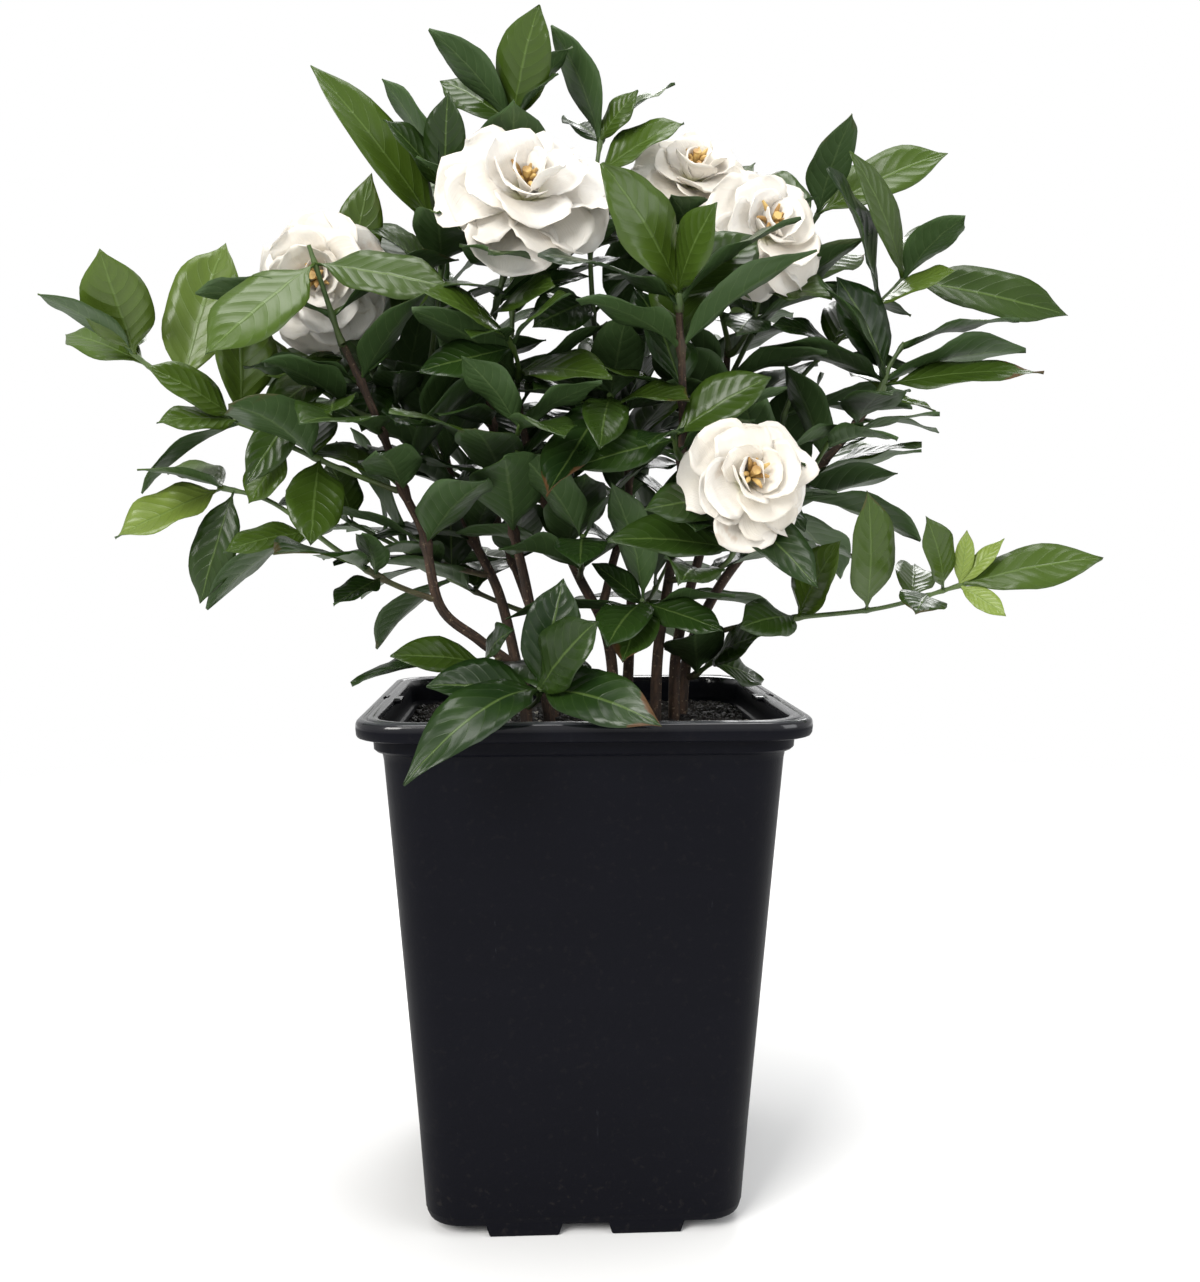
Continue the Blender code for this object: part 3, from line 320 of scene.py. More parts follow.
def square_frame(axis):
    """Two directions square to an axis and to each other."""
    helper = Vector((0.0, 0.0, 1.0)) if abs(axis.z) < 0.9 else Vector((0.0, 1.0, 0.0))
    first = axis.cross(helper).normalized()
    return first, axis.cross(first).normalized()


def spoke(first, second, turn):
    """The direction at a turn around the axis that two directions are square to."""
    return first * math.cos(turn) + second * math.sin(turn)


def blade_mesh(blade, extra, first_share):
    """The vertices and faces of a blade, made thicker by an extra amount on every side."""
    mesh = bmesh.new()
    bmesh.ops.create_uvsphere(mesh, u_segments=4, v_segments=len(BLADE_STATIONS) - 1, radius=1.0)
    for vert in mesh.verts:
        around = math.hypot(vert.co.x, vert.co.y)
        ring = round((1.0 - math.acos(max(-1.0, min(1.0, vert.co.z))) / math.pi) * (len(BLADE_STATIONS) - 1))
        ring = len(BLADE_STATIONS) - 1 - ring
        share = first_share + (1.0 - first_share) * BLADE_STATIONS[ring]
        heading = quad_heading(blade, share)
        side = heading.cross(blade.face).normalized()
        normal = side.cross(heading)
        across = vert.co.x / around if around > 0.1 else 0.0
        upward = vert.co.y / around if around > 0.1 else 0.0
        half = blade.width * 0.5 * blade.outline[ring] + extra
        vert.co = (quad_point(blade, share) + side * across * half
                   + normal * upward * (blade.thickness * 0.5 + extra))
    return mesh


def blade_tree(blade, extra, first_share=0.0):
    """A search tree and a box for a blade."""
    mesh = blade_mesh(blade, extra, first_share)
    tree = BVHTree.FromBMesh(mesh)
    box = box_of([vert.co.copy() for vert in mesh.verts])
    mesh.free()
    return tree, box


def box_of(points):
    """The lowest and highest corners around some points."""
    return [(min(p[axis] for p in points), max(p[axis] for p in points)) for axis in range(3)]


def boxes_meet(first, second):
    """Whether two boxes meet."""
    return all(a[0] <= b[1] and b[0] <= a[1] for a, b in zip(first, second))


def stem_tree(stem, extra, sides=6):
    """A search tree and a box for a stem, made thicker by an extra amount."""
    points = []
    faces = []
    for index, (place, radius) in enumerate(zip(stem.route, stem.radii)):
        after = stem.route[min(index + 1, len(stem.route) - 1)]
        heading = (after - stem.route[max(index - 1, 0)]).normalized()
        first, second = square_frame(heading)
        for step in range(sides):
            turn = math.tau * step / sides
            points.append(place + spoke(first, second, turn) * (radius + extra))
    for ring in range(len(stem.route) - 1):
        for step in range(sides):
            here, after = ring * sides + step, ring * sides + (step + 1) % sides
            faces.append((here, after, after + sides, here + sides))
    faces.append(tuple(range(sides)))
    faces.append(tuple(range(len(points) - sides, len(points))))
    return BVHTree.FromPolygons(points, faces), box_of(points)


def box_tree(half, high):
    """A search tree and a box for an upright square block that stands on the ground."""
    points = [Vector((x, y, z)) for z in (0.0, high) for x, y in
              ((-half, -half), (half, -half), (half, half), (-half, half))]
    faces = [(0, 1, 5, 4), (1, 2, 6, 5), (2, 3, 7, 6), (3, 0, 4, 7), (4, 5, 6, 7)]
    return BVHTree.FromPolygons(points, faces), box_of(points)


class Thicket:
    """Everything placed so far, so that nothing new runs through it."""

    def __init__(self):
        self.items = []

    def add(self, owner, kind, tree, box):
        self.items.append((owner, kind, tree, box))

    def clear_of(self, owner, blade):
        """Whether a blade misses every other piece, and its own shoot's blades beyond their bases."""
        tree, box = blade_tree(blade, CLEARANCE)
        tail, tail_box = blade_tree(blade, TAIL_GAP, TAIL_START)
        for other, kind, other_tree, other_box in self.items:
            own = other == owner
            if own != (kind == "tail"):
                continue
            if boxes_meet(tail_box if own else box, other_box):
                if (tail if own else tree).overlap(other_tree):
                    return False
        return all(inside_allowed(quad_point(blade, share)) for share in (0.5, 0.8, 1.0))

    def take(self, owner, blade):
        """Add a blade under its owner's name."""
        self.add(owner, "whole", *blade_tree(blade, 0.0))
        self.add(owner, "tail", *blade_tree(blade, TAIL_GAP, TAIL_START))

    def settle(self, owner, options, leaves):
        """Take the first of some leaves that is clear of everything and list it; a leaf may find no place."""
        for leaf in options:
            if self.clear_of(owner, leaf):
                self.take(owner, leaf)
                leaves.append(leaf)
                return


def inside_allowed(point):
    """Whether a leaf may reach a point: outside the pot and the potting mix and inside the plant's spread."""
    reach = RIM_HALF + 3.0
    near_pot = abs(point.x) < reach and abs(point.y) < reach and point.z < POT_HEIGHT + 1.0
    spread = all(abs(value) < limit for value, limit in zip(point, SPREAD))
    return not near_pot and spread and point.z > LOWEST_LEAF


def turned_options(base, tip, width, toward, arch, spread):
    """A leaf and the small changes of aim and size that are tried when something is in its way."""
    chord = tip - base
    first, second = square_frame(chord.normalized())
    for size in (1.0, 0.9, 0.8):
        for reach in (0.0, 0.12, 0.24, 0.38):
            for step in range(8 if reach else 1):
                turn = math.tau * step / 8.0
                aim = chord + spoke(first, second, turn) * chord.length * reach * spread
                aim = aim.normalized() * chord.length * size
                yield leaf_blade(base, base + aim, width * size, toward, arch)


def closest_on(stem, point):
    """The point of a stem's axis that lies nearest to another point, and the stem's radius there."""
    best = None
    lengths = route_lengths(stem.route)
    for index, (start, end) in enumerate(zip(stem.route, stem.route[1:])):
        span = end - start
        share = max(0.0, min(1.0, (point - start).dot(span) / span.length_squared))
        found = start + span * share
        if best is None or (found - point).length < (best[0] - point).length:
            along = (lengths[index] + span.length * share) / lengths[-1]
            best = found, stem.radii[0] + (stem.radii[-1] - stem.radii[0]) * along
    return best


def seat_on(carrier, axis_point, heading, radius):
    """The start of a stem that leaves an axis point and stands a seat gap off its carrier's surface."""
    first, second = square_frame(heading)
    middle = axis_point
    for step in range(400):
        middle = axis_point + heading * step * 0.05
        gaps = []
        for turn in (math.tau * k / 12.0 for k in range(12)):
            rim = middle + spoke(first, second, turn) * radius
            nearest, thick = closest_on(carrier, rim)
            gaps.append((rim - nearest).length - thick)
        if min(gaps) >= SEAT_GAP:
            break
    return middle


def cane_radii(route, radii):
    """The radius at every point of a route, from thick to thin."""
    lengths = route_lengths(route)
    return [radii[0] + (radii[1] - radii[0]) * length / lengths[-1] for length in lengths]


def blooms():
    """For every flower: its hub, its axis and its petals, in rings from the outside in."""
    found = {}
    for name, (_, middle, facing, width) in FLOWERS.items():
        axis = Vector(facing).normalized()
        hub = Vector(middle) - axis * width * 0.18
        first, second = square_frame(axis)
        rng = random.Random(name)
        petals = []
        for count, turn_share, base_mean, tip_mean, length, breadth, place in PETAL_RINGS:
            for index in range(count):
                turn = math.tau * (index + turn_share) / count
                base_angle = base_mean + rng.uniform(-2.0, 2.0)
                tip_angle = tip_mean + rng.uniform(-6.0, 6.0)
                base = hub + axis * (place + rng.uniform(-0.3, 0.3))
                outward = spoke(first, second, turn)
                start = spoke(axis, outward, math.radians(base_angle))
                end = spoke(axis, outward, math.radians(tip_angle))
                control = base + start * length * width * 0.5
                face = (axis - start * axis.dot(start)).normalized()
                petals.append(Blade(base, control, control + end * length * width * 0.5, face,
                                    length * width * breadth, PETAL_OUTLINE, PETAL_THICKNESS))
        found[name] = (hub, axis, petals)
    return found


def lay_out():
    """Every stem, leaf and petal of the plant: a dictionary of stems, one of leaves and one of flowers."""
    thicket = Thicket()
    stems = {}
    for name, route in CANES.items():
        points = [Vector(point) for point in route]
        stems[name] = Stem(points, cane_radii(points, CANE_RADII))
    flowers = blooms()
    carried = {entry[0]: name for name, entry in FLOWERS.items()}
    plans = {name: (plan["on"], [Vector(point) for point in plan["route"]]) for name, plan in SHOOTS.items()}
    for name, (cane, share, compass, rise, length, _, _) in FREE_SHOOTS.items():
        start, heading = route_point(stems[cane].route, share)
        compass, rise = math.radians(compass), math.radians(rise)
        aim = Vector((math.cos(compass) * math.cos(rise), math.sin(compass) * math.cos(rise), math.sin(rise)))
        bend = Vector((0.0, 0.0, length * 0.10))
        plans[name] = (cane, [start, start + aim * length * 0.5, start + aim * length + bend])
    plans.update({name: (on, [Vector(point) for point in route]) for name, (on, route) in FORKS.items()})
    order = list(FORKS) + [name for name in plans if name not in FORKS]
    for name in order:
        on, route = plans[name]
        radii = FORK_RADII if name in FORKS else SHOOT_RADII
        carrier = stems[on]
        if name in carried:
            hub, axis, _ = flowers[carried[name]]
            route = route[:-1] + [hub - axis * CALYX_LENGTH, hub + axis * (HUB_BACK - SEAT_GAP)]
        axis_point, _ = closest_on(carrier, route[0])
        if (axis_point - carrier.route[-1]).length < 4.0:
            heading = (carrier.route[-1] - carrier.route[-2]).normalized()
            route = [carrier.route[-1] + heading * SEAT_GAP, carrier.route[-1] + heading * 4.0] + route[1:]
        else:
            heading = (route[1] - axis_point).normalized()
            route = [seat_on(carrier, axis_point, heading, radii[0])] + route[1:]
        widths = cane_radii(route, radii)
        if name in carried:
            widths[-1] = CALYX_RADIUS
        stems[name] = Stem(route, widths)
    thicket.add("pot", "pot", *box_tree(RIM_HALF + 0.5, POT_HEIGHT + 0.5))
    for name, stem in stems.items():
        thicket.add(name, "stem", *stem_tree(stem, CLEARANCE))
    for name, (hub, axis, petals) in flowers.items():
        for petal in petals:
            thicket.add(name, "petal", *blade_tree(petal, PETAL_CLEARANCE, 0.0))
    leaves = {name: [] for name in stems}
    ahead = Vector(SHOWN_TOWARD)
    for name, plan in SHOOTS.items():
        for share, tip, width, *given in plan["leaves"]:
            base, _ = leaf_base(stems[name].route, share)
            arch = given[0] if given else (0.10 if tip[2] > base.z - 10.0 else 0.04)
            options = turned_options(base, Vector(tip), width, ahead, arch, NAMED_LEAF_PLAY)
            thicket.settle(name, options, leaves[name])
    for name in list(SHOOTS) + list(FREE_SHOOTS) + list(CANES) + list(FORKS):
        rng = random.Random(name)
        route = stems[name].route
        if name in SHOOTS or name in FREE_SHOOTS:
            plan = SHOOTS.get(name)
            more, whorl = (plan["more"], plan["whorl"]) if plan else FREE_SHOOTS[name][-2:]
            rows = [(0.30 + 0.55 * index / max(more, 1), 2, False) for index in range(more)]
            rows.append((1.0, whorl, True))
        else:
            rows = [(share, 3, False) for share in CANE_WHORLS]
        for index, (share, count, closing) in enumerate(rows):
            base, heading = leaf_base(route, share)
            first, second = square_frame(heading)
            for place in range(count):
                turn = math.tau * place / max(count, 1) + index * math.pi * 0.5 + rng.uniform(-0.3, 0.3)
                outward = spoke(first, second, turn)
                open_angle = math.radians(rng.uniform(38, 52) if closing else rng.uniform(55, 72))
                length = rng.uniform(40, 58) if closing else rng.uniform(50, 70)
                aim = spoke(heading, outward, open_angle)
                tip = base + aim * length
                width = length * rng.uniform(0.42, 0.50)
                options = turned_options(base, tip, width, Vector((0, 0, 1.0)), FREE_LEAF_ARCH, 1.0)
                thicket.settle(name, options, leaves[name])
    return stems, leaves, flowers

# ---------------------------------------------------------------- node trees, written as sums


class Wire:
    """A socket of a node tree. Sums and products of wires add the matching nodes."""

    def __init__(self, tree, socket):
        self.tree = tree
        self.socket = socket
        self.is_vector = socket.type in ("VECTOR", "RGBA")

    def maths(self, operation, *others):
        items = (self, *others)
        vectors = self.is_vector or any(isinstance(item, Wire) and item.is_vector for item in others)
        node = self.tree.nodes.new("ShaderNodeVectorMath" if vectors else "ShaderNodeMath")
        node.operation = operation
        for socket, item in zip(node.inputs, items):
            plug(self.tree, socket, item)
        return Wire(self.tree, node.outputs[0])

    def __add__(self, other):
        return self.maths("ADD", other)

    def __sub__(self, other):
        return self.maths("SUBTRACT", other)

    def __rsub__(self, other):
        return (self * -1.0) + other

    def __mul__(self, other):
        if self.is_vector and not (isinstance(other, Wire) and other.is_vector):
            node = self.tree.nodes.new("ShaderNodeVectorMath")
            node.operation = "SCALE"
            plug(self.tree, node.inputs[0], self)
            plug(self.tree, node.inputs["Scale"], other)
            return Wire(self.tree, node.outputs[0])
        if isinstance(other, Wire) and other.is_vector and not self.is_vector:
            return other * self
        return self.maths("MULTIPLY", other)

    def __truediv__(self, other):
        return self.maths("DIVIDE", other)

    def __pow__(self, other):
        return self.maths("POWER", other)

    def __abs__(self):
        return self.maths("ABSOLUTE")

    __radd__ = __add__
    __rmul__ = __mul__


def plug(tree, socket, item):
    """Link a wire to a socket, or set the socket's value."""
    if isinstance(item, Wire):
        tree.links.new(item.socket, socket)
    elif item is not None:
        socket.default_value = item


class Graph:
    """A node tree with one method for every kind of node."""

    def __init__(self, tree):
        self.tree = tree

    def add(self, kind, settings=None, inputs=None, output=0):
        node = self.tree.nodes.new(kind)
        for key, value in (settings or {}).items():
            if key == "stops":
                while len(node.color_ramp.elements) < len(value):
                    node.color_ramp.elements.new(0.5)
                for element, (place, colour) in zip(node.color_ramp.elements, value):
                    element.position = place
                    element.color = (*colour, 1.0)
            elif key == "curve":
                points = node.mapping.curves[0].points
                while len(points) < len(value):
                    points.new(0.5, 0.5)
                for point, place in zip(points, value):
                    point.location = place
                    point.handle_type = "AUTO"
                node.mapping.update()
            else:
                setattr(node, key, value)
        for key, value in (inputs or {}).items():
            plug(self.tree, node.inputs[key], value)
        return node if output is None else Wire(self.tree, node.outputs[output])

    def smooth(self, value, low, high, to_low=0.0, to_high=1.0):
        """A smooth step from one value to another."""
        return self.add("ShaderNodeMapRange", {"interpolation_type": "SMOOTHSTEP"},
                        {"Value": value, "From Min": low, "From Max": high,
                         "To Min": to_low, "To Max": to_high})

    def mix(self, factor, first, second, blend="MIX"):
        """A mix of two colours."""
        node = self.add("ShaderNodeMix", {"data_type": "RGBA", "blend_type": blend}, output=None)
        plug(self.tree, node.inputs[0], factor)
        for socket, colour in ((node.inputs[6], first), (node.inputs[7], second)):
            plug(self.tree, socket, colour if isinstance(colour, Wire) else (*colour, 1.0))
        return Wire(self.tree, node.outputs[2])

    def noise(self, scale, detail=3.0, vector=None, roughness=0.55, output="Fac"):
        """Fractal noise on the object's own coordinates, or on a given vector."""
        place = vector or self.add("ShaderNodeTexCoord", output="Object")
        return self.add("ShaderNodeTexNoise", {"noise_dimensions": "3D"},
                        {"Vector": place, "Scale": scale, "Detail": detail, "Roughness": roughness}, output)

    def split(self, vector):
        """The three parts of a vector."""
        node = self.add("ShaderNodeSeparateXYZ", {}, {"Vector": vector}, None)
        return [Wire(self.tree, socket) for socket in node.outputs]

    def join(self, x, y, z):
        """A vector from its three parts."""
        return self.add("ShaderNodeCombineXYZ", {}, {"X": x, "Y": y, "Z": z})


def new_material(name):
    """A material with an empty tree but for its Principled shader, and that shader."""
    made = bpy.data.materials.new(name)
    made.use_nodes = True
    return made, Graph(made.node_tree), made.node_tree.nodes["Principled BSDF"]


def bump(graph, height, distance, strength=1.0):
    """A bump from a height."""
    return graph.add("ShaderNodeBump", {}, {"Height": height, "Distance": distance, "Strength": strength})


def carried_parts(graph, name):
    """The three parts of a vector that the mesh carries."""
    return graph.split(graph.add("ShaderNodeAttribute", {"attribute_name": name}, output="Vector"))


def leaf_material():
    """Glossy quilted gardenia leaf: pale midrib, curved side veins, a matt paler underside, browned tips."""
    made, graph, shader = new_material("gardenia_leaf")
    tree = graph.tree
    along, across, under = carried_parts(graph, "place")
    youth, wear, seed = carried_parts(graph, "mood")
    away = abs(across)
    midrib = graph.smooth(away, 0.015, 0.07, 1.0, 0.0)
    lane = (along - 0.24 * away ** 1.35) * 9.0 + seed * 3.0
    gap = abs(lane.maths("FRACT") - 0.5)
    fade = graph.smooth(away, 0.80, 0.98, 1.0, 0.0) * graph.smooth(along, 0.06, 0.14)
    vein = graph.smooth(gap, 0.01, 0.06, 1.0, 0.0) * fade
    pillow = graph.smooth(gap, 0.0, 0.42) * fade
    broad = graph.noise(26.0, 2.0)
    fine = graph.noise(420.0, 3.0)
    shade = graph.mix(graph.smooth(broad, 0.35, 0.68), (0.0050, 0.0165, 0.0032), (0.0150, 0.0370, 0.0055))
    grown = graph.mix(graph.smooth(youth, 0.0, 0.5), shade, (0.048, 0.086, 0.008))
    young = graph.mix(graph.smooth(youth, 0.5, 1.0), grown, (0.200, 0.270, 0.050))
    speckled = graph.mix(fine * 0.14, young, (0.045, 0.080, 0.018))
    veined = graph.mix(vein * (0.10 + youth * 0.16), speckled, (0.095, 0.160, 0.036))
    ribbed = graph.mix(midrib * 0.42, veined, (0.125, 0.195, 0.048))
    pale = graph.mix(vein * 0.35 + midrib * 0.55, (0.040, 0.078, 0.022), (0.100, 0.155, 0.055))
    sided = graph.mix(under, ribbed, pale)
    ragged = along + away * 0.35 + (graph.noise(90.0, 4.0) - 0.5) * 0.9
    burnt = graph.smooth(ragged, 1.10, 1.18) * graph.smooth(wear, 0.5, 0.6)
    worn = graph.mix(burnt * 0.85, sided, (0.085, 0.036, 0.012))
    plug(tree, shader.inputs["Base Color"], worn)
    rough = 0.30 + (graph.noise(60.0, 3.0) - 0.5) * 0.16 + under * 0.28 + burnt * 0.25
    plug(tree, shader.inputs["Roughness"], rough)
    height = pillow * 0.55 - vein * 0.35 - midrib * 0.8 + fine * 0.10
    plug(tree, shader.inputs["Normal"], bump(graph, height * (1.0 - under * 1.7), 0.0008, 0.36))
    shader.inputs["Specular IOR Level"].default_value = 0.26
    shader.inputs["Coat Weight"].default_value = 0.11
    shader.inputs["Coat Roughness"].default_value = 0.20
    return made


def petal_material():
    """Cream petal: greenish claw, faint long veins, a painted warm glow along the thin edge, and the odd bruise.
    """
    made, graph, shader = new_material("cream_petal")
    tree = graph.tree
    along, across, _ = carried_parts(graph, "place")
    youth, wear, seed = carried_parts(graph, "mood")
    fan = graph.join(across * 16.0 + seed * 9.0, along * 1.3, seed * 5.0)
    veins = graph.noise(1.0, 4.0, fan, 0.65)
    cloud = graph.smooth(graph.noise(34.0, 2.0), 0.35, 0.7)
    blush = graph.mix(cloud, (0.765, 0.725, 0.660), (0.800, 0.775, 0.735))
    aged = graph.mix(graph.smooth(youth, 0.0, 1.0, 0.0, 0.30), blush, (0.770, 0.660, 0.470))
    veined = graph.mix(graph.smooth(veins, 0.50, 0.75) * 0.12, aged, (0.700, 0.630, 0.510))
    clawed = graph.mix(graph.smooth(along, 0.05, 0.38, 0.75, 0.0), veined, (0.600, 0.590, 0.270))
    # The warmer tan along the outer edges is painted light: it stands in for light shining through the thin
    # petal edge.
    rim = graph.smooth(abs(across), 0.90, 1.0) * graph.smooth(along, 0.4, 0.8)
    painted_edge_glow = graph.mix(rim * 0.25, clawed, (0.690, 0.580, 0.410))
    blot = graph.smooth(graph.noise(70.0, 3.0), 0.60, 0.68) * graph.smooth(wear, 0.5, 0.6)
    plug(tree, shader.inputs["Base Color"], graph.mix(blot * 0.75, painted_edge_glow, (0.42, 0.22, 0.08)))
    plug(tree, shader.inputs["Roughness"], 0.52 + (graph.noise(120.0) - 0.5) * 0.2)
    height = veins * 0.7 + graph.noise(55.0, 3.0) * 0.9
    plug(tree, shader.inputs["Normal"], bump(graph, height, 0.0012, 0.35))
    shader.inputs["Subsurface Weight"].default_value = 0.12
    shader.inputs["Subsurface Radius"].default_value = (0.003, 0.0025, 0.002)
    shader.inputs["Subsurface Scale"].default_value = 1.0
    shader.inputs["Sheen Weight"].default_value = 0.15
    return made


def stem_material(name, old, mid, green, lime):
    """Bark that goes from brown and fissured to smooth and green with the stem's youth."""
    made, graph, shader = new_material(name)
    tree = graph.tree
    youth, around, along = carried_parts(graph, "mood")
    streaks = graph.noise(1.0, 5.0, graph.join(around * 5.0, along * 90.0, 0.3), 0.7)
    broad = graph.noise(70.0, 3.0)
    bark = graph.mix(graph.smooth(streaks, 0.35, 0.65), old, mid)
    flecked = graph.mix(graph.smooth(graph.noise(600.0, 2.0), 0.62, 0.72) * 0.5, bark, (0.30, 0.22, 0.14))
    soft = graph.mix(graph.smooth(broad, 0.3, 0.7), green, lime)
    blend = graph.smooth(youth + (broad - 0.5) * 0.5, 0.30, 0.72)
    plug(tree, shader.inputs["Base Color"], graph.mix(blend, flecked, soft))
    plug(tree, shader.inputs["Roughness"], 0.82 - blend * 0.36)
    height = (streaks * 1.0 + graph.noise(900.0, 2.0) * 0.3) * (1.0 - blend * 0.8)
    plug(tree, shader.inputs["Normal"], bump(graph, height, 0.0011, 0.9))
    return made


def pot_material():
    """Black moulded plastic: fine grain, flow marks, scuffs, a little dust, a glossy lip and a painted highlight
    atop it.
    """
    made, graph, shader = new_material("black_pot_plastic")
    tree = graph.tree
    x, y, z = graph.split(graph.add("ShaderNodeTexCoord", output="Object"))
    flow = graph.noise(1.0, 3.0, graph.join(x * 9.0, y * 9.0, z * 60.0))
    scuff_lines = graph.noise(1.0, 5.0, graph.join(x * 300.0, y * 300.0, z * 40.0 + x * 90.0), 0.7)
    scuffs = graph.smooth(scuff_lines, 0.66, 0.74) * graph.smooth(graph.noise(14.0, 2.0), 0.48, 0.66)
    dust = graph.smooth(graph.noise(300.0, 4.0), 0.56, 0.74) * graph.smooth(z, 0.0, 0.05, 0.5, 0.12)
    base = graph.mix(flow, (0.0028, 0.0030, 0.0050), (0.0042, 0.0044, 0.0072))
    scuffed = graph.mix(scuffs * 0.35, base, (0.045, 0.047, 0.055))
    lip = graph.smooth(z, (POT_HEIGHT - 4.0) * MM, (POT_HEIGHT - 2.0) * MM)
    # The top edge of the lip is painted a paler blue-grey: a painted highlight where the rim catches the light
    # from above.
    painted_lip_highlight = graph.mix(graph.smooth(z, (POT_HEIGHT - 0.9) * MM, (POT_HEIGHT - 0.3) * MM, 0.0, 0.7), scuffed,
                       (0.060, 0.062, 0.070))
    plug(tree, shader.inputs["Base Color"], graph.mix(dust * 0.35, painted_lip_highlight, (0.060, 0.052, 0.044)))
    rough = 0.44 + (flow - 0.5) * 0.14 + scuffs * 0.2 + dust * 0.2
    plug(tree, shader.inputs["Roughness"], rough)
    height = graph.noise(1400.0, 2.0) * 0.6 + flow * 0.5 - scuffs * 0.4
    plug(tree, shader.inputs["Normal"], bump(graph, height, 0.00025, 0.5))
    shader.inputs["Specular IOR Level"].default_value = 0.06
    plug(tree, shader.inputs["Coat Weight"], lip)
    shader.inputs["Coat Roughness"].default_value = 0.12
    return made


def mix_material():
    """Damp bark and peat: near black with brown fibres."""
    made, graph, shader = new_material("damp_potting_mix")
    tree = graph.tree
    crumbs = graph.noise(380.0, 5.0, roughness=0.7)
    base = graph.mix(graph.smooth(crumbs, 0.35, 0.7), (0.004, 0.003, 0.003), (0.022, 0.015, 0.010))
    fibres = graph.smooth(graph.noise(900.0, 4.0, roughness=0.75), 0.62, 0.70)
    plug(tree, shader.inputs["Base Color"], graph.mix(fibres * 0.6, base, (0.070, 0.046, 0.026)))
    plug(tree, shader.inputs["Roughness"], 0.72 + (crumbs - 0.5) * 0.4)
    plug(tree, shader.inputs["Normal"], bump(graph, crumbs + fibres * 0.3, 0.0015, 1.0))
    return made


def grit_material():
    """White expanded grit, stained by the peat."""
    made, graph, shader = new_material("white_grit")
    pores = graph.noise(1500.0, 3.0)
    stain = graph.smooth(graph.noise(260.0, 2.0), 0.35, 0.7)
    plug(graph.tree, shader.inputs["Base Color"], graph.mix(stain, (0.36, 0.32, 0.26), (0.66, 0.63, 0.57)))
    plug(graph.tree, shader.inputs["Roughness"], 0.85 + (pores - 0.5) * 0.2)
    plug(graph.tree, shader.inputs["Normal"], bump(graph, pores, 0.0006, 0.8))
    return made


def pollen_material():
    """Tan stamens and the stigma, in darker and lighter patches."""
    made, graph, shader = new_material("tan_stamens")
    grain = graph.noise(1300.0, 3.0)
    tint = graph.smooth(graph.noise(220.0, 2.0), 0.35, 0.65)
    plug(graph.tree, shader.inputs["Base Color"], graph.mix(tint, (0.36, 0.20, 0.06), (0.62, 0.43, 0.15)))
    plug(graph.tree, shader.inputs["Roughness"], 0.6 + (grain - 0.5) * 0.3)
    plug(graph.tree, shader.inputs["Normal"], bump(graph, grain, 0.0004, 0.8))
    return made

# ---------------------------------------------------------------- growing blades and stems


def as_data(name, mesh):
    """A mesh's data from the mesh that was being shaped."""
    data = bpy.data.meshes.new(name)
    mesh.to_mesh(data)
    mesh.free()
    return data


def result_of(holder, *others):
    """The mesh that an object's modifiers give. The object and its helpers are then removed."""
    data = bpy.data.meshes.new_from_object(holder.evaluated_get(bpy.context.evaluated_depsgraph_get()))
    for gone in (holder, *others):
        bpy.data.objects.remove(gone, do_unlink=True)
    return data


def set_growth(holder, label, tree, values):
    """Give an object a node group with a value for each of its inputs by name."""
    change = holder.modifiers.new(label, "NODES")
    change.node_group = tree
    for item in tree.interface.items_tree:
        if item.in_out == "INPUT" and item.name in values:
            change[item.identifier] = values[item.name]


def new_group(name, wanted):
    """A geometry node group with the inputs that are wanted: its graph, and a wire for each input."""
    tree = bpy.data.node_groups.new(name, "GeometryNodeTree")
    for label, kind in wanted:
        tree.interface.new_socket(label, in_out="INPUT", socket_type="NodeSocket" + kind)
    tree.interface.new_socket("Geometry", in_out="OUTPUT", socket_type="NodeSocketGeometry")
    source = tree.nodes.new("NodeGroupInput")
    return Graph(tree), {socket.name: Wire(tree, socket) for socket in source.outputs if socket.name}


def stored(graph, geometry, kind, name, value):
    """Geometry with a value kept on each of its points."""
    return graph.add("GeometryNodeStoreNamedAttribute", {"data_type": kind, "domain": "POINT"},
                     {"Geometry": geometry, "Name": name, "Value": value})


def painted(graph, geometry, material):
    """Geometry with a material."""
    return graph.add("GeometryNodeSetMaterial", {}, {"Geometry": geometry, "Material": material})


def named(graph, name, vector=False):
    """An attribute that the points or the template carry."""
    return graph.add("GeometryNodeInputNamedAttribute", {"data_type": "FLOAT_VECTOR" if vector else "FLOAT"},
                     {"Name": name})


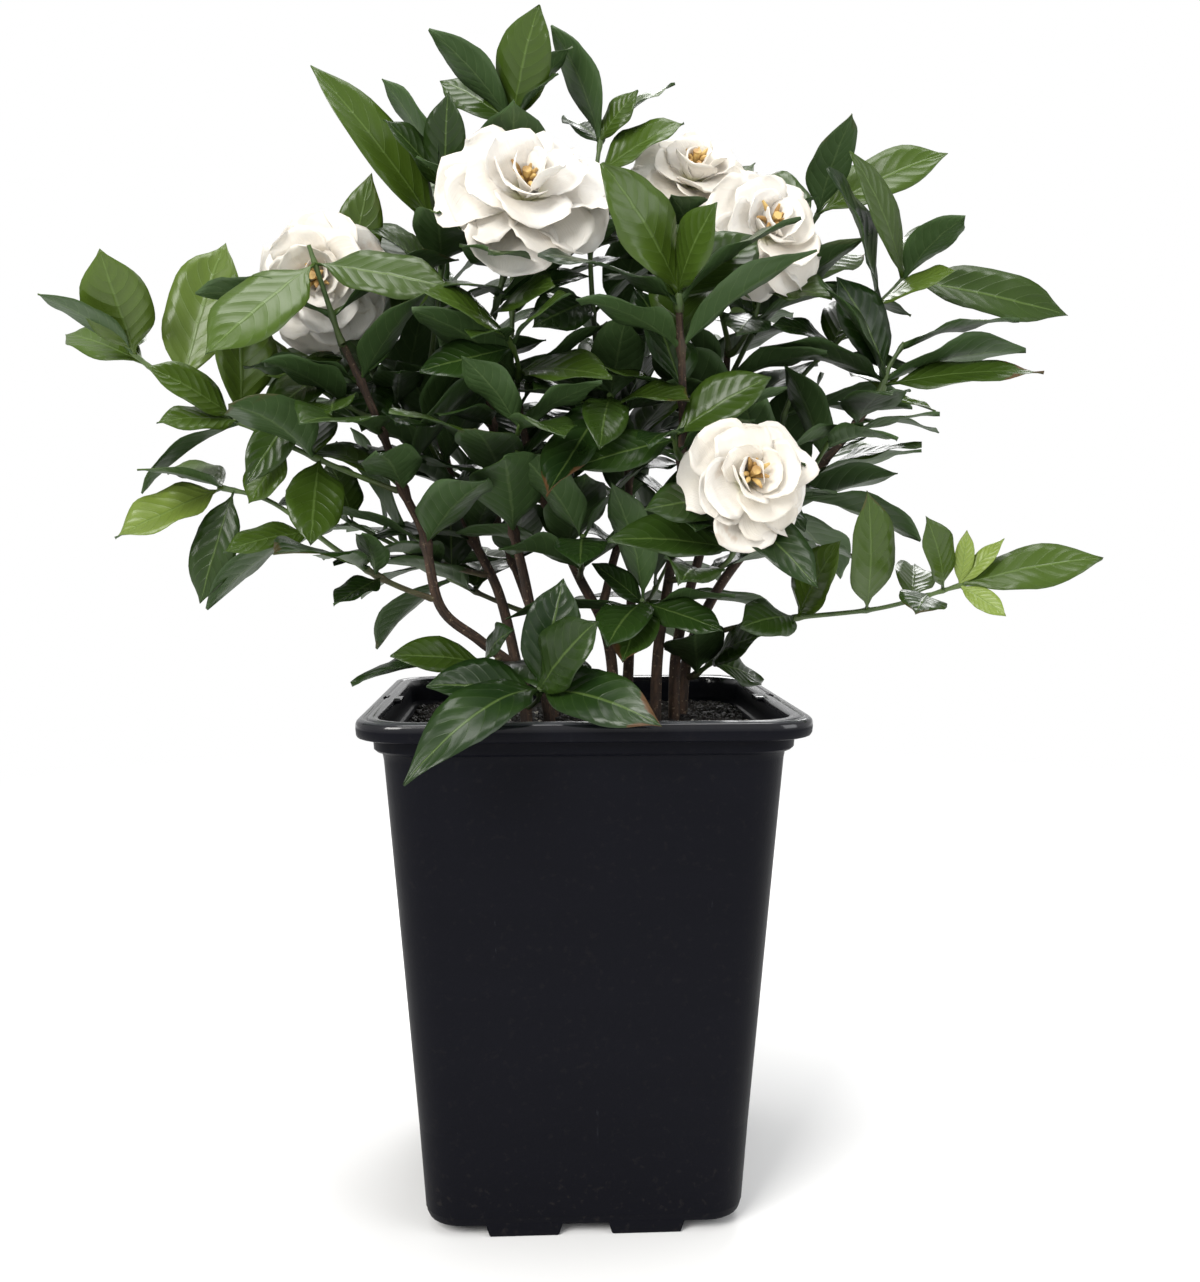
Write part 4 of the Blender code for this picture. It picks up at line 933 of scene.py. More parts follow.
def growth_tree(name, outline, sides):
    """Bends a flat template along each point's own curve, and sweeps a round section along the stem paths."""
    wanted = [("Geometry", "Geometry"), ("Template", "Object"), ("Stem Path", "Object"),
              ("Blade Material", "Material"), ("Stem Material", "Material"), ("Thickness", "Float"),
              *((label, "Float") for label in ("Fold", "Cup", "Ruffle", "Waves", "Wobble"))]
    graph, given = new_group(name, wanted)
    tree = graph.tree
    template = graph.add("GeometryNodeObjectInfo", {}, {"Object": given["Template"]}, "Geometry")
    placed = graph.add("GeometryNodeInstanceOnPoints", {},
                       {"Points": given["Geometry"], "Instance": template})
    flat = graph.add("GeometryNodeRealizeInstances", {}, {"Geometry": placed})
    along, across, layer = named(graph, "along"), named(graph, "across"), named(graph, "layer")
    base, control = named(graph, "base", True), named(graph, "control", True)
    tip, facing = named(graph, "tip", True), named(graph, "facing", True)
    width, bend, mood = named(graph, "width"), named(graph, "bend", True), named(graph, "mood", True)
    fold_own, twist, ruffle_own = graph.split(bend)
    _, _, seed = graph.split(mood)
    rest = 1.0 - along
    spine = base * (rest * rest) + control * (rest * along * 2.0) + tip * (along * along)
    heading = ((control - base) * rest + (tip - control) * along).maths("NORMALIZE")
    flat_side = heading.maths("CROSS_PRODUCT", facing).maths("NORMALIZE")
    flat_up = flat_side.maths("CROSS_PRODUCT", heading)
    turn = twist * along
    side = flat_side * turn.maths("COSINE") + flat_up * turn.maths("SINE")
    up = flat_up * turn.maths("COSINE") - flat_side * turn.maths("SINE")
    half = width * 0.5 * graph.add("ShaderNodeFloatCurve", {"curve": outline}, {"Value": along})
    square = across * across
    crease = abs(across) * given["Fold"] * fold_own + square * given["Cup"]
    wave = (along * given["Waves"] * 6.283 + seed * 6.283 + across * 1.7).maths("SINE")
    lift = half * crease + wave * square * width * given["Ruffle"] * ruffle_own
    drift = graph.noise(38.0, 2.0, spine + side * (across * half) + up * seed, output="Color")
    settled = graph.smooth(along, 0.0, 0.35)
    wander = (drift - (0.5, 0.5, 0.5)) * (width * given["Wobble"] * settled)
    petiole = graph.smooth(along, 0.02, 0.13, 0.0011, 0.0)
    midrib = graph.smooth(abs(across), 0.0, 0.2, 0.00035, 0.0)
    body = given["Thickness"] * (1.0 - square * 0.75) + petiole + midrib
    spot = spine + side * (across * half) + up * (lift + layer * body * 0.5) + wander
    bent = graph.add("GeometryNodeSetPosition", {}, {"Geometry": flat, "Position": spot})
    under = graph.smooth(layer, -0.5, 0.5, 1.0, 0.0)
    marked = stored(graph, bent, "FLOAT_VECTOR", "place", graph.join(along, across, under))
    blades = painted(graph, marked, given["Blade Material"])
    path = graph.add("GeometryNodeObjectInfo", {}, {"Object": given["Stem Path"]}, "Geometry")
    line = graph.add("GeometryNodeMeshToCurve", {}, {"Mesh": path})
    thick = graph.add("GeometryNodeSetCurveRadius", {}, {"Curve": line, "Radius": named(graph, "radius")})
    count = graph.add("GeometryNodeSplineParameter", output="Length")
    lengths = stored(graph, thick, "FLOAT", "run", count)
    ring = graph.add("GeometryNodeCurvePrimitiveCircle", {"mode": "RADIUS"},
                     {"Resolution": sides, "Radius": 1.0})
    turned = stored(graph, ring, "FLOAT", "lap", graph.add("GeometryNodeSplineParameter"))
    swept = graph.add("GeometryNodeCurveToMesh", {}, {"Curve": lengths, "Profile Curve": turned,
                                                      "Scale": named(graph, "radius"), "Fill Caps": True})
    normal = graph.add("GeometryNodeInputNormal")
    rough = graph.noise(420.0, 3.0, graph.add("GeometryNodeInputPosition"))
    barked = graph.add("GeometryNodeSetPosition", {}, {
        "Geometry": swept, "Offset": normal * ((rough - 0.5) * named(graph, "radius") * 0.28)})
    lap = named(graph, "lap")
    ageing = graph.join(named(graph, "youth"), lap, named(graph, "run"))
    tagged = stored(graph, barked, "FLOAT_VECTOR", "mood", ageing)
    stems = painted(graph, tagged, given["Stem Material"])
    joined = graph.add("GeometryNodeJoinGeometry", output=None)
    tree.links.new(blades.socket, joined.inputs[0])
    tree.links.new(stems.socket, joined.inputs[0])
    smooth = graph.add("GeometryNodeSetShadeSmooth", {}, {"Geometry": Wire(tree, joined.outputs[0])})
    out = tree.nodes.new("NodeGroupOutput")
    tree.links.new(smooth.socket, out.inputs[0])
    return tree


def flat_template(name, along_steps, across_steps):
    """A closed flat blade: its length runs from 0 to 1 and its width from -1 to 1, in two layers."""
    mesh = bmesh.new()
    bmesh.ops.create_grid(mesh, x_segments=along_steps, y_segments=across_steps, size=1.0)
    bmesh.ops.solidify(mesh, geom=mesh.faces, thickness=1.0)
    bmesh.ops.recalc_face_normals(mesh, faces=mesh.faces)
    low = min(vert.co.z for vert in mesh.verts)
    data = as_data(name, mesh)
    places = [vert.co.copy() for vert in data.vertices]
    store(data, "along", "FLOAT", [(place.x + 1.0) * 0.5 for place in places])
    store(data, "across", "FLOAT", [place.y for place in places])
    store(data, "layer", "FLOAT", [-1.0 if place.z < low + 0.5 else 1.0 for place in places])
    return loose_object(name, data)


def store(data, name, kind, values):
    """Write one value for every vertex."""
    attribute = data.attributes.new(name, kind, "POINT")
    if kind == "FLOAT_VECTOR":
        attribute.data.foreach_set("vector", [part for value in values for part in value])
    else:
        attribute.data.foreach_set("value", values)


def loose_object(name, data):
    """An object that is linked to the scene."""
    made = bpy.data.objects.new(name, data)
    bpy.context.scene.collection.objects.link(made)
    return made


def path_object(name, strands):
    """Stem paths: each strand is a list of (point, radius, youth) in metres."""
    data = bpy.data.meshes.new(name)
    points = [entry for strand in strands for entry in strand]
    edges = []
    start = 0
    for strand in strands:
        edges += [(start + step, start + step + 1) for step in range(len(strand) - 1)]
        start += len(strand)
    data.from_pydata([entry[0] for entry in points], edges, [])
    store(data, "radius", "FLOAT", [entry[1] for entry in points])
    store(data, "youth", "FLOAT", [entry[2] for entry in points])
    return loose_object(name, data)


def blade_points(name, blades):
    """One point for every blade: (Blade in mm, bend, mood)."""
    data = bpy.data.meshes.new(name)
    data.from_pydata([(0.0, 0.0, 0.0)] * len(blades), [], [])
    for label in ("base", "control", "tip"):
        store(data, label, "FLOAT_VECTOR", [getattr(blade, label) * MM for blade, _, _ in blades])
    store(data, "facing", "FLOAT_VECTOR", [blade.face for blade, _, _ in blades])
    store(data, "width", "FLOAT", [blade.width * MM for blade, _, _ in blades])
    store(data, "bend", "FLOAT_VECTOR", [bend for _, bend, _ in blades])
    store(data, "mood", "FLOAT_VECTOR", [mood for _, _, mood in blades])
    return loose_object(name, data)


def grow(name, tree, blades, strands, settings):
    """Run a growth tree on its points and keep the result as a plain mesh."""
    holder = blade_points(name, blades)
    path = path_object(name + "_path", strands)
    set_growth(holder, "Growth", tree, {**settings, "Stem Path": path})
    return keep(name, result_of(holder, path))


def keep(name, data):
    """A finished piece from a mesh."""
    data.name = name
    return loose_object(name, data)


def smooth_route(points, radii, step=2.5):
    """A dense, rounded path through a stem's points, with the radius at each place."""
    places = []
    for index in range(len(points) - 1):
        first, second = points[index], points[index + 1]
        before = points[index - 1] if index else first * 2.0 - second
        after = points[index + 2] if index + 2 < len(points) else second * 2.0 - first
        count = max(2, int((second - first).length / step))
        for part in range(count):
            share = part / count
            square, cube = share * share, share ** 3
            spot = (first * 2.0 + (second - before) * share
                    + (before * 2.0 - first * 5.0 + second * 4.0 - after) * square
                    + (first * 3.0 - before - second * 3.0 + after) * cube) * 0.5
            places.append((spot, radii[index] + (radii[index + 1] - radii[index]) * share))
    places.append((points[-1], radii[-1]))
    return places

# ---------------------------------------------------------------- the pot and its mix


def square_ring(half, corner, high, steps=7):
    """Points around a square with rounded corners."""
    points = []
    for quarter in range(4):
        turn = math.tau * quarter / 4.0
        for step in range(steps + 1):
            angle = math.pi * 0.5 * step / steps
            x = half - corner + corner * math.cos(angle)
            y = half - corner + corner * math.sin(angle)
            points.append(Vector((x * math.cos(turn) - y * math.sin(turn),
                                  x * math.sin(turn) + y * math.cos(turn), high)))
    return points


def loft(mesh, rings):
    """Skin a row of rings and close its two ends."""
    rows = [[mesh.verts.new(point * MM) for point in ring] for ring in rings]
    for low, high in zip(rows, rows[1:]):
        for index in range(len(low)):
            after = (index + 1) % len(low)
            mesh.faces.new((low[index], low[after], high[after], high[index]))
    mesh.faces.new(list(reversed(rows[0])))
    mesh.faces.new(rows[-1])


def soft_block(mesh, middle, size, taper, edge):
    """A small block with rounded edges whose foot may be narrower than its top."""
    part = bmesh.new()
    bmesh.ops.create_cube(part, size=1.0)
    for vert in part.verts:
        shrink = taper if vert.co.z < 0.0 else 1.0
        vert.co = Vector((vert.co.x * size[0] * shrink, vert.co.y * size[1] * shrink, vert.co.z * size[2]))
    bmesh.ops.bevel(part, geom=part.edges, offset=edge, segments=2, profile=0.5, affect="EDGES")
    bmesh.ops.translate(part, vec=middle, verts=part.verts)
    bmesh.ops.scale(part, vec=(MM, MM, MM), verts=part.verts)
    data = as_data("block", part)
    mesh.from_mesh(data)
    bpy.data.meshes.remove(data)


def sharpen(data, angle):
    """Smooth shading everywhere but on edges sharper than an angle."""
    mesh = bmesh.new()
    mesh.from_mesh(data)
    for face in mesh.faces:
        face.smooth = True
    for edge in mesh.edges:
        edge.smooth = len(edge.link_faces) == 2 and edge.calc_face_angle(0.0) < angle
    mesh.to_mesh(data)
    mesh.free()


def make_pot(high):
    """The square pot with its beaded flange, collar, ledge, feet, tabs and slots."""
    top = high.z / MM
    half = high.x / MM
    # The outline from the foot up the wall, over the collar and the beaded lip, and down the inside.
    profile = [(60.0, 4.8), (67.6, 4.6), (68.9, 5.2), (69.5, 6.8), (73.9, 66.0), (79.3, 138.0),
               (84.6, top - 18.5), (85.0, top - 16.0), (85.6, top - 14.8), (87.4, top - 14.2),
               (88.3, top - 13.2), (88.6, top - 8.9), (89.3, top - 8.2), (93.2, top - 8.0),
               (94.3, top - 7.5), (94.8, top - 6.4), (half, top - 4.0), (half, top - 2.0),
               (half - 0.4, top - 0.9), (half - 1.2, top - 0.2), (half - 2.2, top),
               (half - 3.1, top - 0.15), (half - 3.6, top - 0.75), (half - 4.1, top - 0.75),
               (half - 4.5, top - 0.2), (half - 5.2, top - 0.05), (half - 7.2, top - 0.1),
               (half - 8.2, top - 0.5), (half - 8.7, top - 1.4), (half - 9.0, top - 8.0),
               (half - 9.3, top - 11.4), (half - 10.0, top - 12.3), (half - 11.3, top - 12.7),
               (half - 11.8, top - 13.4), (half - 12.2, top - 22.0), (half - 25.0, 9.0),
               (half - 40.0, 7.0)]
    mesh = bmesh.new()
    loft(mesh, [square_ring(wide, min(21.0, wide * 0.23), tall) for wide, tall in profile])
    shell = loose_object("pot_shell", as_data("pot_shell", mesh))
    tools = bmesh.new()
    for sign in (-1, 1):
        soft_block(tools, (sign * (half - FLANGE * 0.5), 0.0, top), (*SLOT_SIZE, 7.0), 1.0, 0.4)
    slots = loose_object("slots", as_data("slots", tools))
    cut = shell.modifiers.new("Slots", "BOOLEAN")
    cut.operation = "DIFFERENCE"
    cut.solver = "EXACT"
    cut.object = slots
    data = result_of(shell, slots)
    mesh = bmesh.new()
    mesh.from_mesh(data)
    for sign in (-1, 1):
        soft_block(mesh, (sign * (half - FLANGE - 0.6), 0.0, top - 1.6), TAB_SIZE, 1.0, 0.5)
        for place in (-FOOT_PLACE, FOOT_PLACE):
            out = sign * (BODY_BOTTOM_HALF - FOOT_SIZE[1] * 0.5)
            soft_block(mesh, (place, out, 3.2), (FOOT_SIZE[0], FOOT_SIZE[1], 6.4), 0.88, 0.7)
            soft_block(mesh, (out, place, 3.2), (FOOT_SIZE[1], FOOT_SIZE[0], 6.4), 0.88, 0.7)
    mesh.to_mesh(data)
    mesh.free()
    sharpen(data, math.radians(34.0))
    return keep("square_pot", data)


def scatter_tree(name):
    """Crumbs strewn over a surface, each one turned, sized and roughened on its own."""
    wanted = [("Geometry", "Geometry"), ("Crumb", "Object"), ("Grit", "Object"), ("Crumb Density", "Float"),
              ("Grit Density", "Float"), ("Mix Material", "Material"), ("Grit Material", "Material")]
    graph, given = new_group(name, wanted)
    tree = graph.tree
    _, _, upward = graph.split(graph.add("GeometryNodeInputNormal"))
    top = graph.add("FunctionNodeCompare", {"data_type": "FLOAT", "operation": "GREATER_THAN"},
                    {0: upward, 1: 0.35})
    joined = graph.add("GeometryNodeJoinGeometry", output=None)
    ground = painted(graph, given["Geometry"], given["Mix Material"])
    tree.links.new(ground.socket, joined.inputs[0])
    kinds = (("Crumb", "Mix Material", 3, (0.0007, 0.0023)), ("Grit", "Grit Material", 11, (0.0006, 0.0017)))
    for label, finish_name, seed, sizes in kinds:
        spots = graph.add("GeometryNodeDistributePointsOnFaces", {"distribute_method": "RANDOM"}, {
            "Mesh": given["Geometry"], "Selection": top, "Density": given[label + " Density"], "Seed": seed})
        turn = graph.add("FunctionNodeRandomValue", {"data_type": "FLOAT_VECTOR"}, {
            0: (0.0, 0.0, 0.0), 1: (6.283, 6.283, 6.283), "Seed": seed + 1})
        size = graph.add("FunctionNodeRandomValue", {"data_type": "FLOAT_VECTOR"}, {
            0: (sizes[0],) * 3, 1: (sizes[1], sizes[1], sizes[1] * 0.75), "Seed": seed + 2})
        bits = graph.add("GeometryNodeObjectInfo", {}, {"Object": given[label]}, "Geometry")
        strewn = graph.add("GeometryNodeInstanceOnPoints", {}, {"Points": spots, "Instance": bits,
                                                                "Rotation": turn, "Scale": size})
        real = graph.add("GeometryNodeRealizeInstances", {}, {"Geometry": strewn})
        place = graph.add("GeometryNodeInputPosition")
        jolt = (graph.noise(650.0, 2.0, place, output="Color") - (0.5, 0.5, 0.5)) * 0.0011
        rough = graph.add("GeometryNodeSetPosition", {}, {"Geometry": real, "Offset": jolt})
        done = painted(graph, rough, given[finish_name])
        tree.links.new(done.socket, joined.inputs[0])
    out = tree.nodes.new("NodeGroupOutput")
    tree.links.new(joined.outputs[0], out.inputs[0])
    return tree


def make_mix(high, finishes):
    """The potting mix: uneven ground, heaped at the canes, under crumbs of bark and white grit."""
    half = high.x
    mesh = bmesh.new()
    bmesh.ops.create_grid(mesh, x_segments=72, y_segments=72, size=half)
    ground = SOIL_TOP * MM
    for vert in mesh.verts:
        x, y = vert.co.x, vert.co.y
        corner = half * 0.24
        inner = half - corner
        over = Vector((max(0.0, abs(x) - inner), max(0.0, abs(y) - inner)))
        if over.length > corner:
            over = over.normalized() * corner
            x = math.copysign(inner + over.x, x)
            y = math.copysign(inner + over.y, y)
        heap = sum(math.exp(-((x - route[1][0] * MM) ** 2 + (y - route[1][1] * MM) ** 2) / 0.00018)
                   for route in CANES.values())
        rough = noise.fractal(Vector((x, y, 0.0)) * 90.0, 0.9, 2.0, 4) * 0.0011
        rough += noise.noise(Vector((x, y, 3.0)) * 26.0) * 0.0016
        vert.co = Vector((x, y, ground + rough + 0.0012 * min(heap, 1.5) - 0.0008))
    bmesh.ops.solidify(mesh, geom=mesh.faces, thickness=0.006)
    bmesh.ops.recalc_face_normals(mesh, faces=mesh.faces)
    for face in mesh.faces:
        face.smooth = True
    holder = loose_object("mix_ground", as_data("mix_ground", mesh))
    bits = []
    for label, level in (("crumb", 1), ("grit", 2)):
        part = bmesh.new()
        bmesh.ops.create_icosphere(part, subdivisions=level, radius=1.0)
        bits.append(loose_object(label, as_data(label, part)))
    values = {"Crumb": bits[0], "Grit": bits[1], "Crumb Density": 150000.0, "Grit Density": 5200.0,
              "Mix Material": finishes["mix"], "Grit Material": finishes["grit"]}
    set_growth(holder, "Crumbs", scatter_tree("strewn_mix"), values)
    return keep("potting_mix_ground", result_of(holder, *bits))

# ---------------------------------------------------------------- putting the plant together


# Outlines of the blades that show: the share of the length and the half width there.
LEAF_SHAPE = ((0.0, 0.07), (0.055, 0.065), (0.11, 0.20), (0.22, 0.64), (0.37, 0.94), (0.53, 1.0),
              (0.69, 0.91), (0.81, 0.66), (0.90, 0.34), (0.96, 0.12), (1.0, 0.01))
PETAL_SHAPE = ((0.0, 0.16), (0.10, 0.26), (0.28, 0.66), (0.48, 0.94), (0.68, 1.0), (0.84, 0.90), (0.94, 0.62),
               (1.0, 0.22))

# Petals that show: how many in each ring, the ring's turn, the angle from the axis at the base and at the tip,
# the length as a share of the flower's width, the width as a share of the length, the place on the hub and the
# twist.
BLOOM_RINGS = (
    (5, 0.00, 76, 122, 0.56, 1.00, -1.0, 0.16),
    (5, 0.50, 62, 104, 0.52, 1.02, 0.8, 0.20),
    (4, 0.20, 44, 84, 0.45, 1.04, 2.6, 0.24),
    (3, 0.55, 24, 58, 0.38, 1.02, 4.2, 0.30),
    (2, 0.10, 8, 24, 0.32, 0.90, 4.8, 0.45),
)


# Leaves that are paler or yellower than the rest, and leaves with browned tips, by their place on the shoot.
YOUNG_LEAVES = {
    "shoot_low_left": {0: 0.80, 5: 0.45},
    "shoot_low_right": {5: 0.30, 6: 0.85, 8: 1.0, 9: 1.0},
    "shoot_far_left": {0: 0.45, 2: 0.50},
    "shoot_left_stub": {0: 0.52, 1: 0.30},
    "shoot_flower_left": {1: 0.45},
    "shoot_upper_left": {0: 0.42},
    "shoot_crown": {0: 0.36},
}
WORN_LEAVES = {("shoot_basal_front", 4), ("shoot_centre_low", 0), ("shoot_centre_spur", 0),
               ("shoot_right_middle", 2)}
YOUNG_SHOOTS = ("shoot_low_right", "shoot_far_left")

# How far each flower has opened.
OPENNESS = {"flower_top": 1.0, "flower_left": 0.95, "flower_upper_right": 0.9, "flower_right": 1.0,
            "flower_front": 0.9}


def moved_to(blade, spot):
    """The same blade with its base moved to a new spot."""
    shift = spot - blade.base
    return blade._replace(base=spot, control=blade.control + shift * 0.5)


def stem_strand(stem, start, young, knots):
    """A stem's path in metres: rounded, with a collar at its foot and swellings where leaves leave it."""
    first, last = young
    route = [start] + stem.route if start else list(stem.route)
    radii = [stem.radii[0]] + list(stem.radii) if start else list(stem.radii)
    dense = smooth_route(route, radii)
    lengths = route_lengths([spot for spot, _ in dense])
    marks = []
    for knot in knots:
        nearest = min(range(len(dense)), key=lambda index: (dense[index][0] - knot).length)
        marks.append(lengths[nearest])
    strand = []
    for (spot, radius), length in zip(dense, lengths):
        swell = sum(math.exp(-((length - mark) / 1.9) ** 2) for mark in marks)
        collar = math.exp(-(length / 4.5) ** 2) if start else 0.0
        share = length / lengths[-1]
        strand.append((spot * MM, radius * (1.0 + 0.42 * min(swell, 1.2) + 0.55 * collar) * MM,
                       first + (last - first) * share))
    return strand, [spot for spot, _ in dense]


def leaf_mood(name, index, leaf, youngest):
    """How a leaf bends and looks: fold, twist and ruffle, then youth, wear and a seed."""
    rng = random.Random(f"{name} leaf {index}")
    fold = rng.uniform(0.45, 1.35)
    twist = rng.uniform(-0.55, 0.55)
    ruffle = rng.uniform(0.3, 1.3)
    high = min(1.0, max(0.0, (leaf.tip.z - 250.0) / 260.0))
    outer = min(1.0, max(0.0, (abs(leaf.tip.x) - 90.0) / 110.0))
    youth = min(0.62, max(0.0, rng.gauss(0.05 + 0.16 * high + 0.22 * outer, 0.13)))
    if name in YOUNG_LEAVES and index in YOUNG_LEAVES[name]:
        youth = YOUNG_LEAVES[name][index]
    if name in youngest:
        youth += 0.15
    wear = rng.random() * 0.56
    if (name, index) in WORN_LEAVES:
        wear = 1.0
    return (fold, twist, ruffle), (youth, wear, rng.random())


def sepals(hub, axis, seed):
    """Narrow green sepals around the back of a flower."""
    rng = random.Random(seed)
    first, second = square_frame(axis)
    found = []
    for index in range(6):
        turn = math.tau * (index + rng.uniform(-0.15, 0.15)) / 6.0
        outward = spoke(first, second, turn)
        base = hub - axis * 6.0 + outward * 2.0
        control = base + outward * 5.0 + axis * 2.0
        tip = control + outward * rng.uniform(3.0, 7.0) - axis * rng.uniform(2.0, 8.0)
        found.append(Blade(base, control, tip, axis, 2.6, LEAF_OUTLINE, LEAF_THICKNESS))
    return found


def bloom(name, hub, axis, width, stage):
    """The petals and stamens of one flower."""
    rng = random.Random("bloom " + name)
    first, second = square_frame(axis)
    petals = []
    for count, turn_share, base_mean, tip_mean, length, breadth, place, twist in BLOOM_RINGS:
        for index in range(count):
            turn = math.tau * (index + turn_share + rng.uniform(-0.16, 0.16)) / count
            outward = spoke(first, second, turn)
            opening = math.radians(base_mean + rng.uniform(-6.0, 6.0))
            ending = math.radians(tip_mean * stage + rng.uniform(-16.0, 16.0))
            start = spoke(axis, outward, opening)
            end = spoke(axis, outward, ending)
            reach = length * width * rng.uniform(0.86, 1.04)
            base = hub + axis * (place + rng.uniform(-0.4, 0.4)) + outward * 1.2
            control = base + start * reach * 0.5
            face = (axis - start * axis.dot(start)).normalized()
            blade = Blade(base, control, control + end * reach * 0.5, face, reach * breadth, None, None)
            bend = (rng.uniform(0.4, 1.3), twist * rng.uniform(0.5, 1.3), rng.uniform(0.5, 1.4))
            mood = (rng.uniform(0.0, 0.5) + (0.25 if stage < 0.95 else 0.0), rng.random() * 0.55,
                    rng.random())
            petals.append((blade, bend, mood))
    stamens = []
    for index in range(7):
        turn = math.tau * (index + rng.uniform(-0.3, 0.3)) / 7.0
        outward = spoke(first, second, turn)
        lean = rng.uniform(0.35, 0.95)
        points = [hub + axis * 8.0, hub + axis * 12.0 + outward * 2.0 * lean,
                  hub + axis * 17.0 + outward * 6.0 * lean, hub + axis * 18.5 + outward * 10.0 * lean]
        dense = smooth_route(points, [0.5, 0.55, 1.15, 0.5], 1.2)
        stamens.append([(spot * MM, radius * MM, 0.2) for spot, radius in dense])
    club = smooth_route([hub + axis * 4.0, hub + axis * 14.0, hub + axis * 20.0], [0.9, 1.2, 2.0], 1.2)
    stamens.append([(spot * MM, radius * MM, 0.6) for spot, radius in club])
    return petals, stamens


def dress(piece, slot_name, *nodes):
    """Fasten a finished piece to the object and let it stand for its solids."""
    for node in nodes:
        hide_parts(node)
    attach(piece, "root")


def make_plant(finishes):
    """Canes, leafy shoots and flowers, one piece for every solid."""
    stems, leaves, flowers = lay_out()
    leaf_tree = growth_tree("leafy_growth", LEAF_SHAPE, 8)
    petal_tree = growth_tree("petal_growth", PETAL_SHAPE, 8)
    leaf_flat = flat_template("flat_leaf", 18, 6)
    petal_flat = flat_template("flat_petal", 14, 12)
    hubs = {FLOWERS[name][0]: (name, hub, axis) for name, (hub, axis, _) in flowers.items()}
    leaf_values = {"Template": leaf_flat, "Blade Material": finishes["leaf"],
                   "Thickness": 0.0005, "Fold": 0.30, "Cup": -0.10, "Ruffle": 0.050, "Waves": 2.2,
                   "Wobble": 0.05}
    petal_values = {"Template": petal_flat, "Blade Material": finishes["petal"],
                    "Stem Material": finishes["pollen"], "Thickness": 0.0008, "Fold": 0.02, "Cup": 0.34,
                    "Ruffle": 0.050, "Waves": 1.1, "Wobble": 0.13}
    for name, stem in stems.items():
        woody = name.startswith("cane")
        start = None
        if name in SHOOTS or name in FREE_SHOOTS or name in FORKS:
            carrier = stems[carrier_of(name)]
            start, _ = closest_on(carrier, stem.route[0])
        youth = (0.0, 0.34) if woody else (0.58 if start and start.z > 300.0 else 0.34, 1.0)
        strand, dense = stem_strand(stem, start, youth, [leaf.base for leaf in leaves[name]])
        blades = []
        for index, leaf in enumerate(leaves[name]):
            nearest = min(dense, key=lambda spot: (spot - leaf.base).length)
            blades.append((moved_to(leaf, nearest), *leaf_mood(name, index, leaf, YOUNG_SHOOTS)))
        if name in hubs:
            flower, hub, axis = hubs[name]
            blades += [(blade, (1.0, 0.0, 0.4), (0.30, 0.0, 0.5)) for blade in sepals(hub, axis, flower)]
        settings = dict(leaf_values)
        settings["Stem Material"] = finishes["bark"] if woody else finishes["twig"]
        dress(grow(name.replace("cane", "branch") + "_grown", leaf_tree, blades, [strand], settings),
              "leafy_cane" if woody else "leafy_shoot", name)
    for name, (hub, axis, _) in flowers.items():
        petals, stamens = bloom(name, hub, axis, FLOWERS[name][3], OPENNESS[name])
        dress(grow(name + "_open", petal_tree, petals, stamens, petal_values),
              "petals", name, name + "_centre")
    for gone in (leaf_flat, petal_flat):
        bpy.data.objects.remove(gone, do_unlink=True)


def carrier_of(name):
    """The stem that carries a shoot or a fork."""
    if name in SHOOTS:
        return SHOOTS[name]["on"]
    return FREE_SHOOTS[name][0] if name in FREE_SHOOTS else FORKS[name][0]


# ---------------------------------------------------------------- floor, light and camera


def soft_light(name, spot, aim, size, power, tint):
    """A square soft box that faces a point."""
    data = bpy.data.lights.new(name, "AREA")
    data.shape = "SQUARE"
    data.size = size
    data.energy = power
    data.color = tint
    made = loose_object(name, data)
    made.location = spot
    made.rotation_euler = (Vector(aim) - Vector(spot)).to_track_quat("-Z", "Y").to_euler()


SKY_GLOW = 0.55
LIGHT_AIM_HEIGHT = 0.32
CAMERA_PLACE = (-0.0207, -0.5977, 0.2982)
CAMERA_DIP = 0.0757
CAMERA_TURN = -0.0508
CAMERA_LENS = 35.64


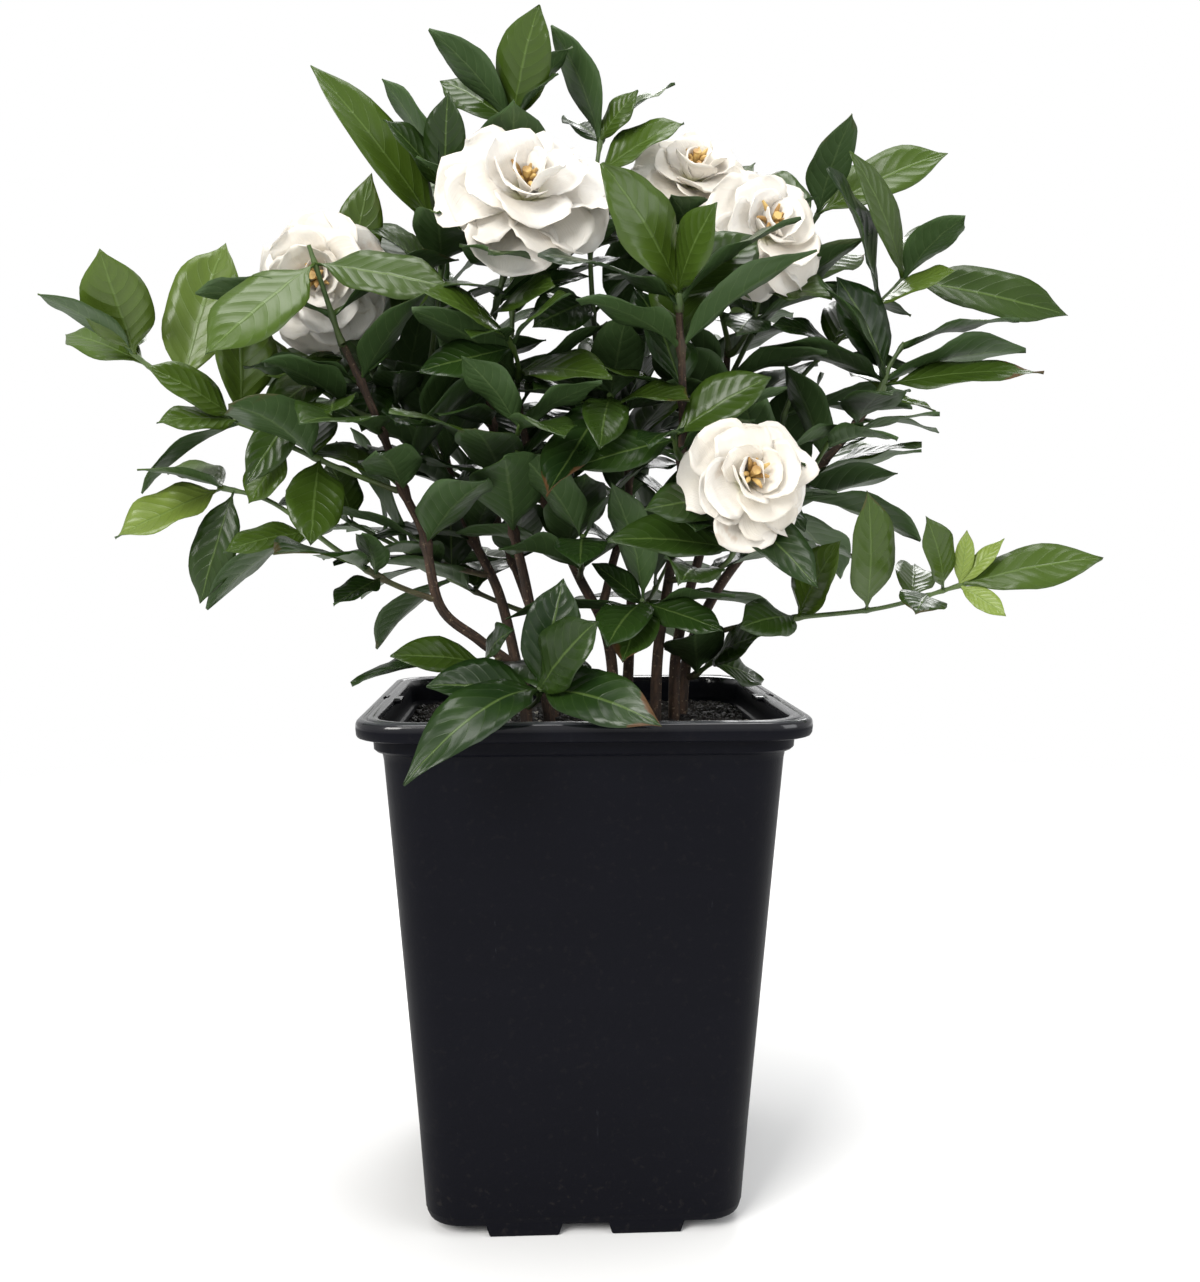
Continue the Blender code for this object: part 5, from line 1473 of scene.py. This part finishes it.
def make_studio():
    """A pale floor, four soft boxes, an even sky and the camera."""
    mesh = bmesh.new()
    bmesh.ops.create_grid(mesh, x_segments=1, y_segments=1, size=6.0)
    floor = loose_object("floor", as_data("floor", mesh))
    made, graph, shader = new_material("pale_floor")
    x, y, _ = graph.split(graph.add("ShaderNodeTexCoord", output="Object"))
    far = graph.smooth((x * x + y * y).maths("SQRT"), 0.35, 1.3)
    paper = graph.mix(graph.noise(3.0), (0.86, 0.86, 0.86), (0.88, 0.88, 0.88))
    plug(graph.tree, shader.inputs["Base Color"], graph.mix(far, paper, (0.0, 0.0, 0.0)))
    plug(graph.tree, shader.inputs["Emission Color"], graph.mix(far, (0.0, 0.0, 0.0), (1.0, 1.0, 1.0)))
    shader.inputs["Emission Strength"].default_value = 1.0
    shader.inputs["Roughness"].default_value = 0.9
    shader.inputs["Specular IOR Level"].default_value = 0.0
    floor.data.materials.append(made)
    world = bpy.data.worlds.new("even_sky")
    world.use_nodes = True
    sky = world.node_tree.nodes["Background"]
    sky.inputs["Color"].default_value = (1.0, 1.0, 1.0, 1.0)
    seen = Graph(world.node_tree).add("ShaderNodeLightPath", output="Is Camera Ray")
    plug(world.node_tree, sky.inputs["Strength"], seen * (1.0 - SKY_GLOW) + SKY_GLOW)
    bpy.context.scene.world = world
    middle = (0.0, 0.0, LIGHT_AIM_HEIGHT)
    soft_light("key_box", (-0.9, -1.3, 1.3), middle, 0.9, 34.0, (1.0, 0.985, 0.955))
    soft_light("top_box", (0.0, 0.1, 1.9), middle, 1.1, 22.0, (1.0, 0.99, 0.97))
    soft_light("fill_box", (1.4, -0.9, 0.8), middle, 1.0, 10.0, (0.97, 0.985, 1.0))
    soft_light("rim_box", (0.4, 1.4, 1.2), middle, 0.8, 12.0, (1.0, 1.0, 1.0))
    camera = bpy.data.cameras.new("camera")
    camera.sensor_width = 36.0
    camera.lens = CAMERA_LENS
    camera.clip_start = 0.01
    made = loose_object("camera", camera)
    made.location = CAMERA_PLACE
    made.rotation_euler = (math.pi * 0.5 - CAMERA_DIP, 0.0, CAMERA_TURN)
    bpy.context.scene.camera = made
    bpy.context.scene.view_settings.view_transform = "Standard"


def main():
    """Everything that shows."""
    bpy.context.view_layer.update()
    finishes = {"leaf": leaf_material(), "petal": petal_material(), "pot": pot_material(),
                "mix": mix_material(), "grit": grit_material(), "pollen": pollen_material(),
                "bark": stem_material("old_bark", (0.020, 0.012, 0.008), (0.070, 0.038, 0.022),
                                      (0.075, 0.060, 0.026), (0.100, 0.090, 0.034)),
                "twig": stem_material("green_twig", (0.040, 0.026, 0.014), (0.085, 0.058, 0.030),
                                      (0.034, 0.066, 0.014), (0.080, 0.130, 0.028))}
    make_studio()
    pot = make_pot(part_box("pot")[1])
    pot.data.materials.append(finishes["pot"])
    dress(pot, "pot_plastic", "pot")
    ground = make_mix(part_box("potting_mix")[1], finishes)
    dress(ground, "potting_mix", "potting_mix")
    make_plant(finishes)


main()
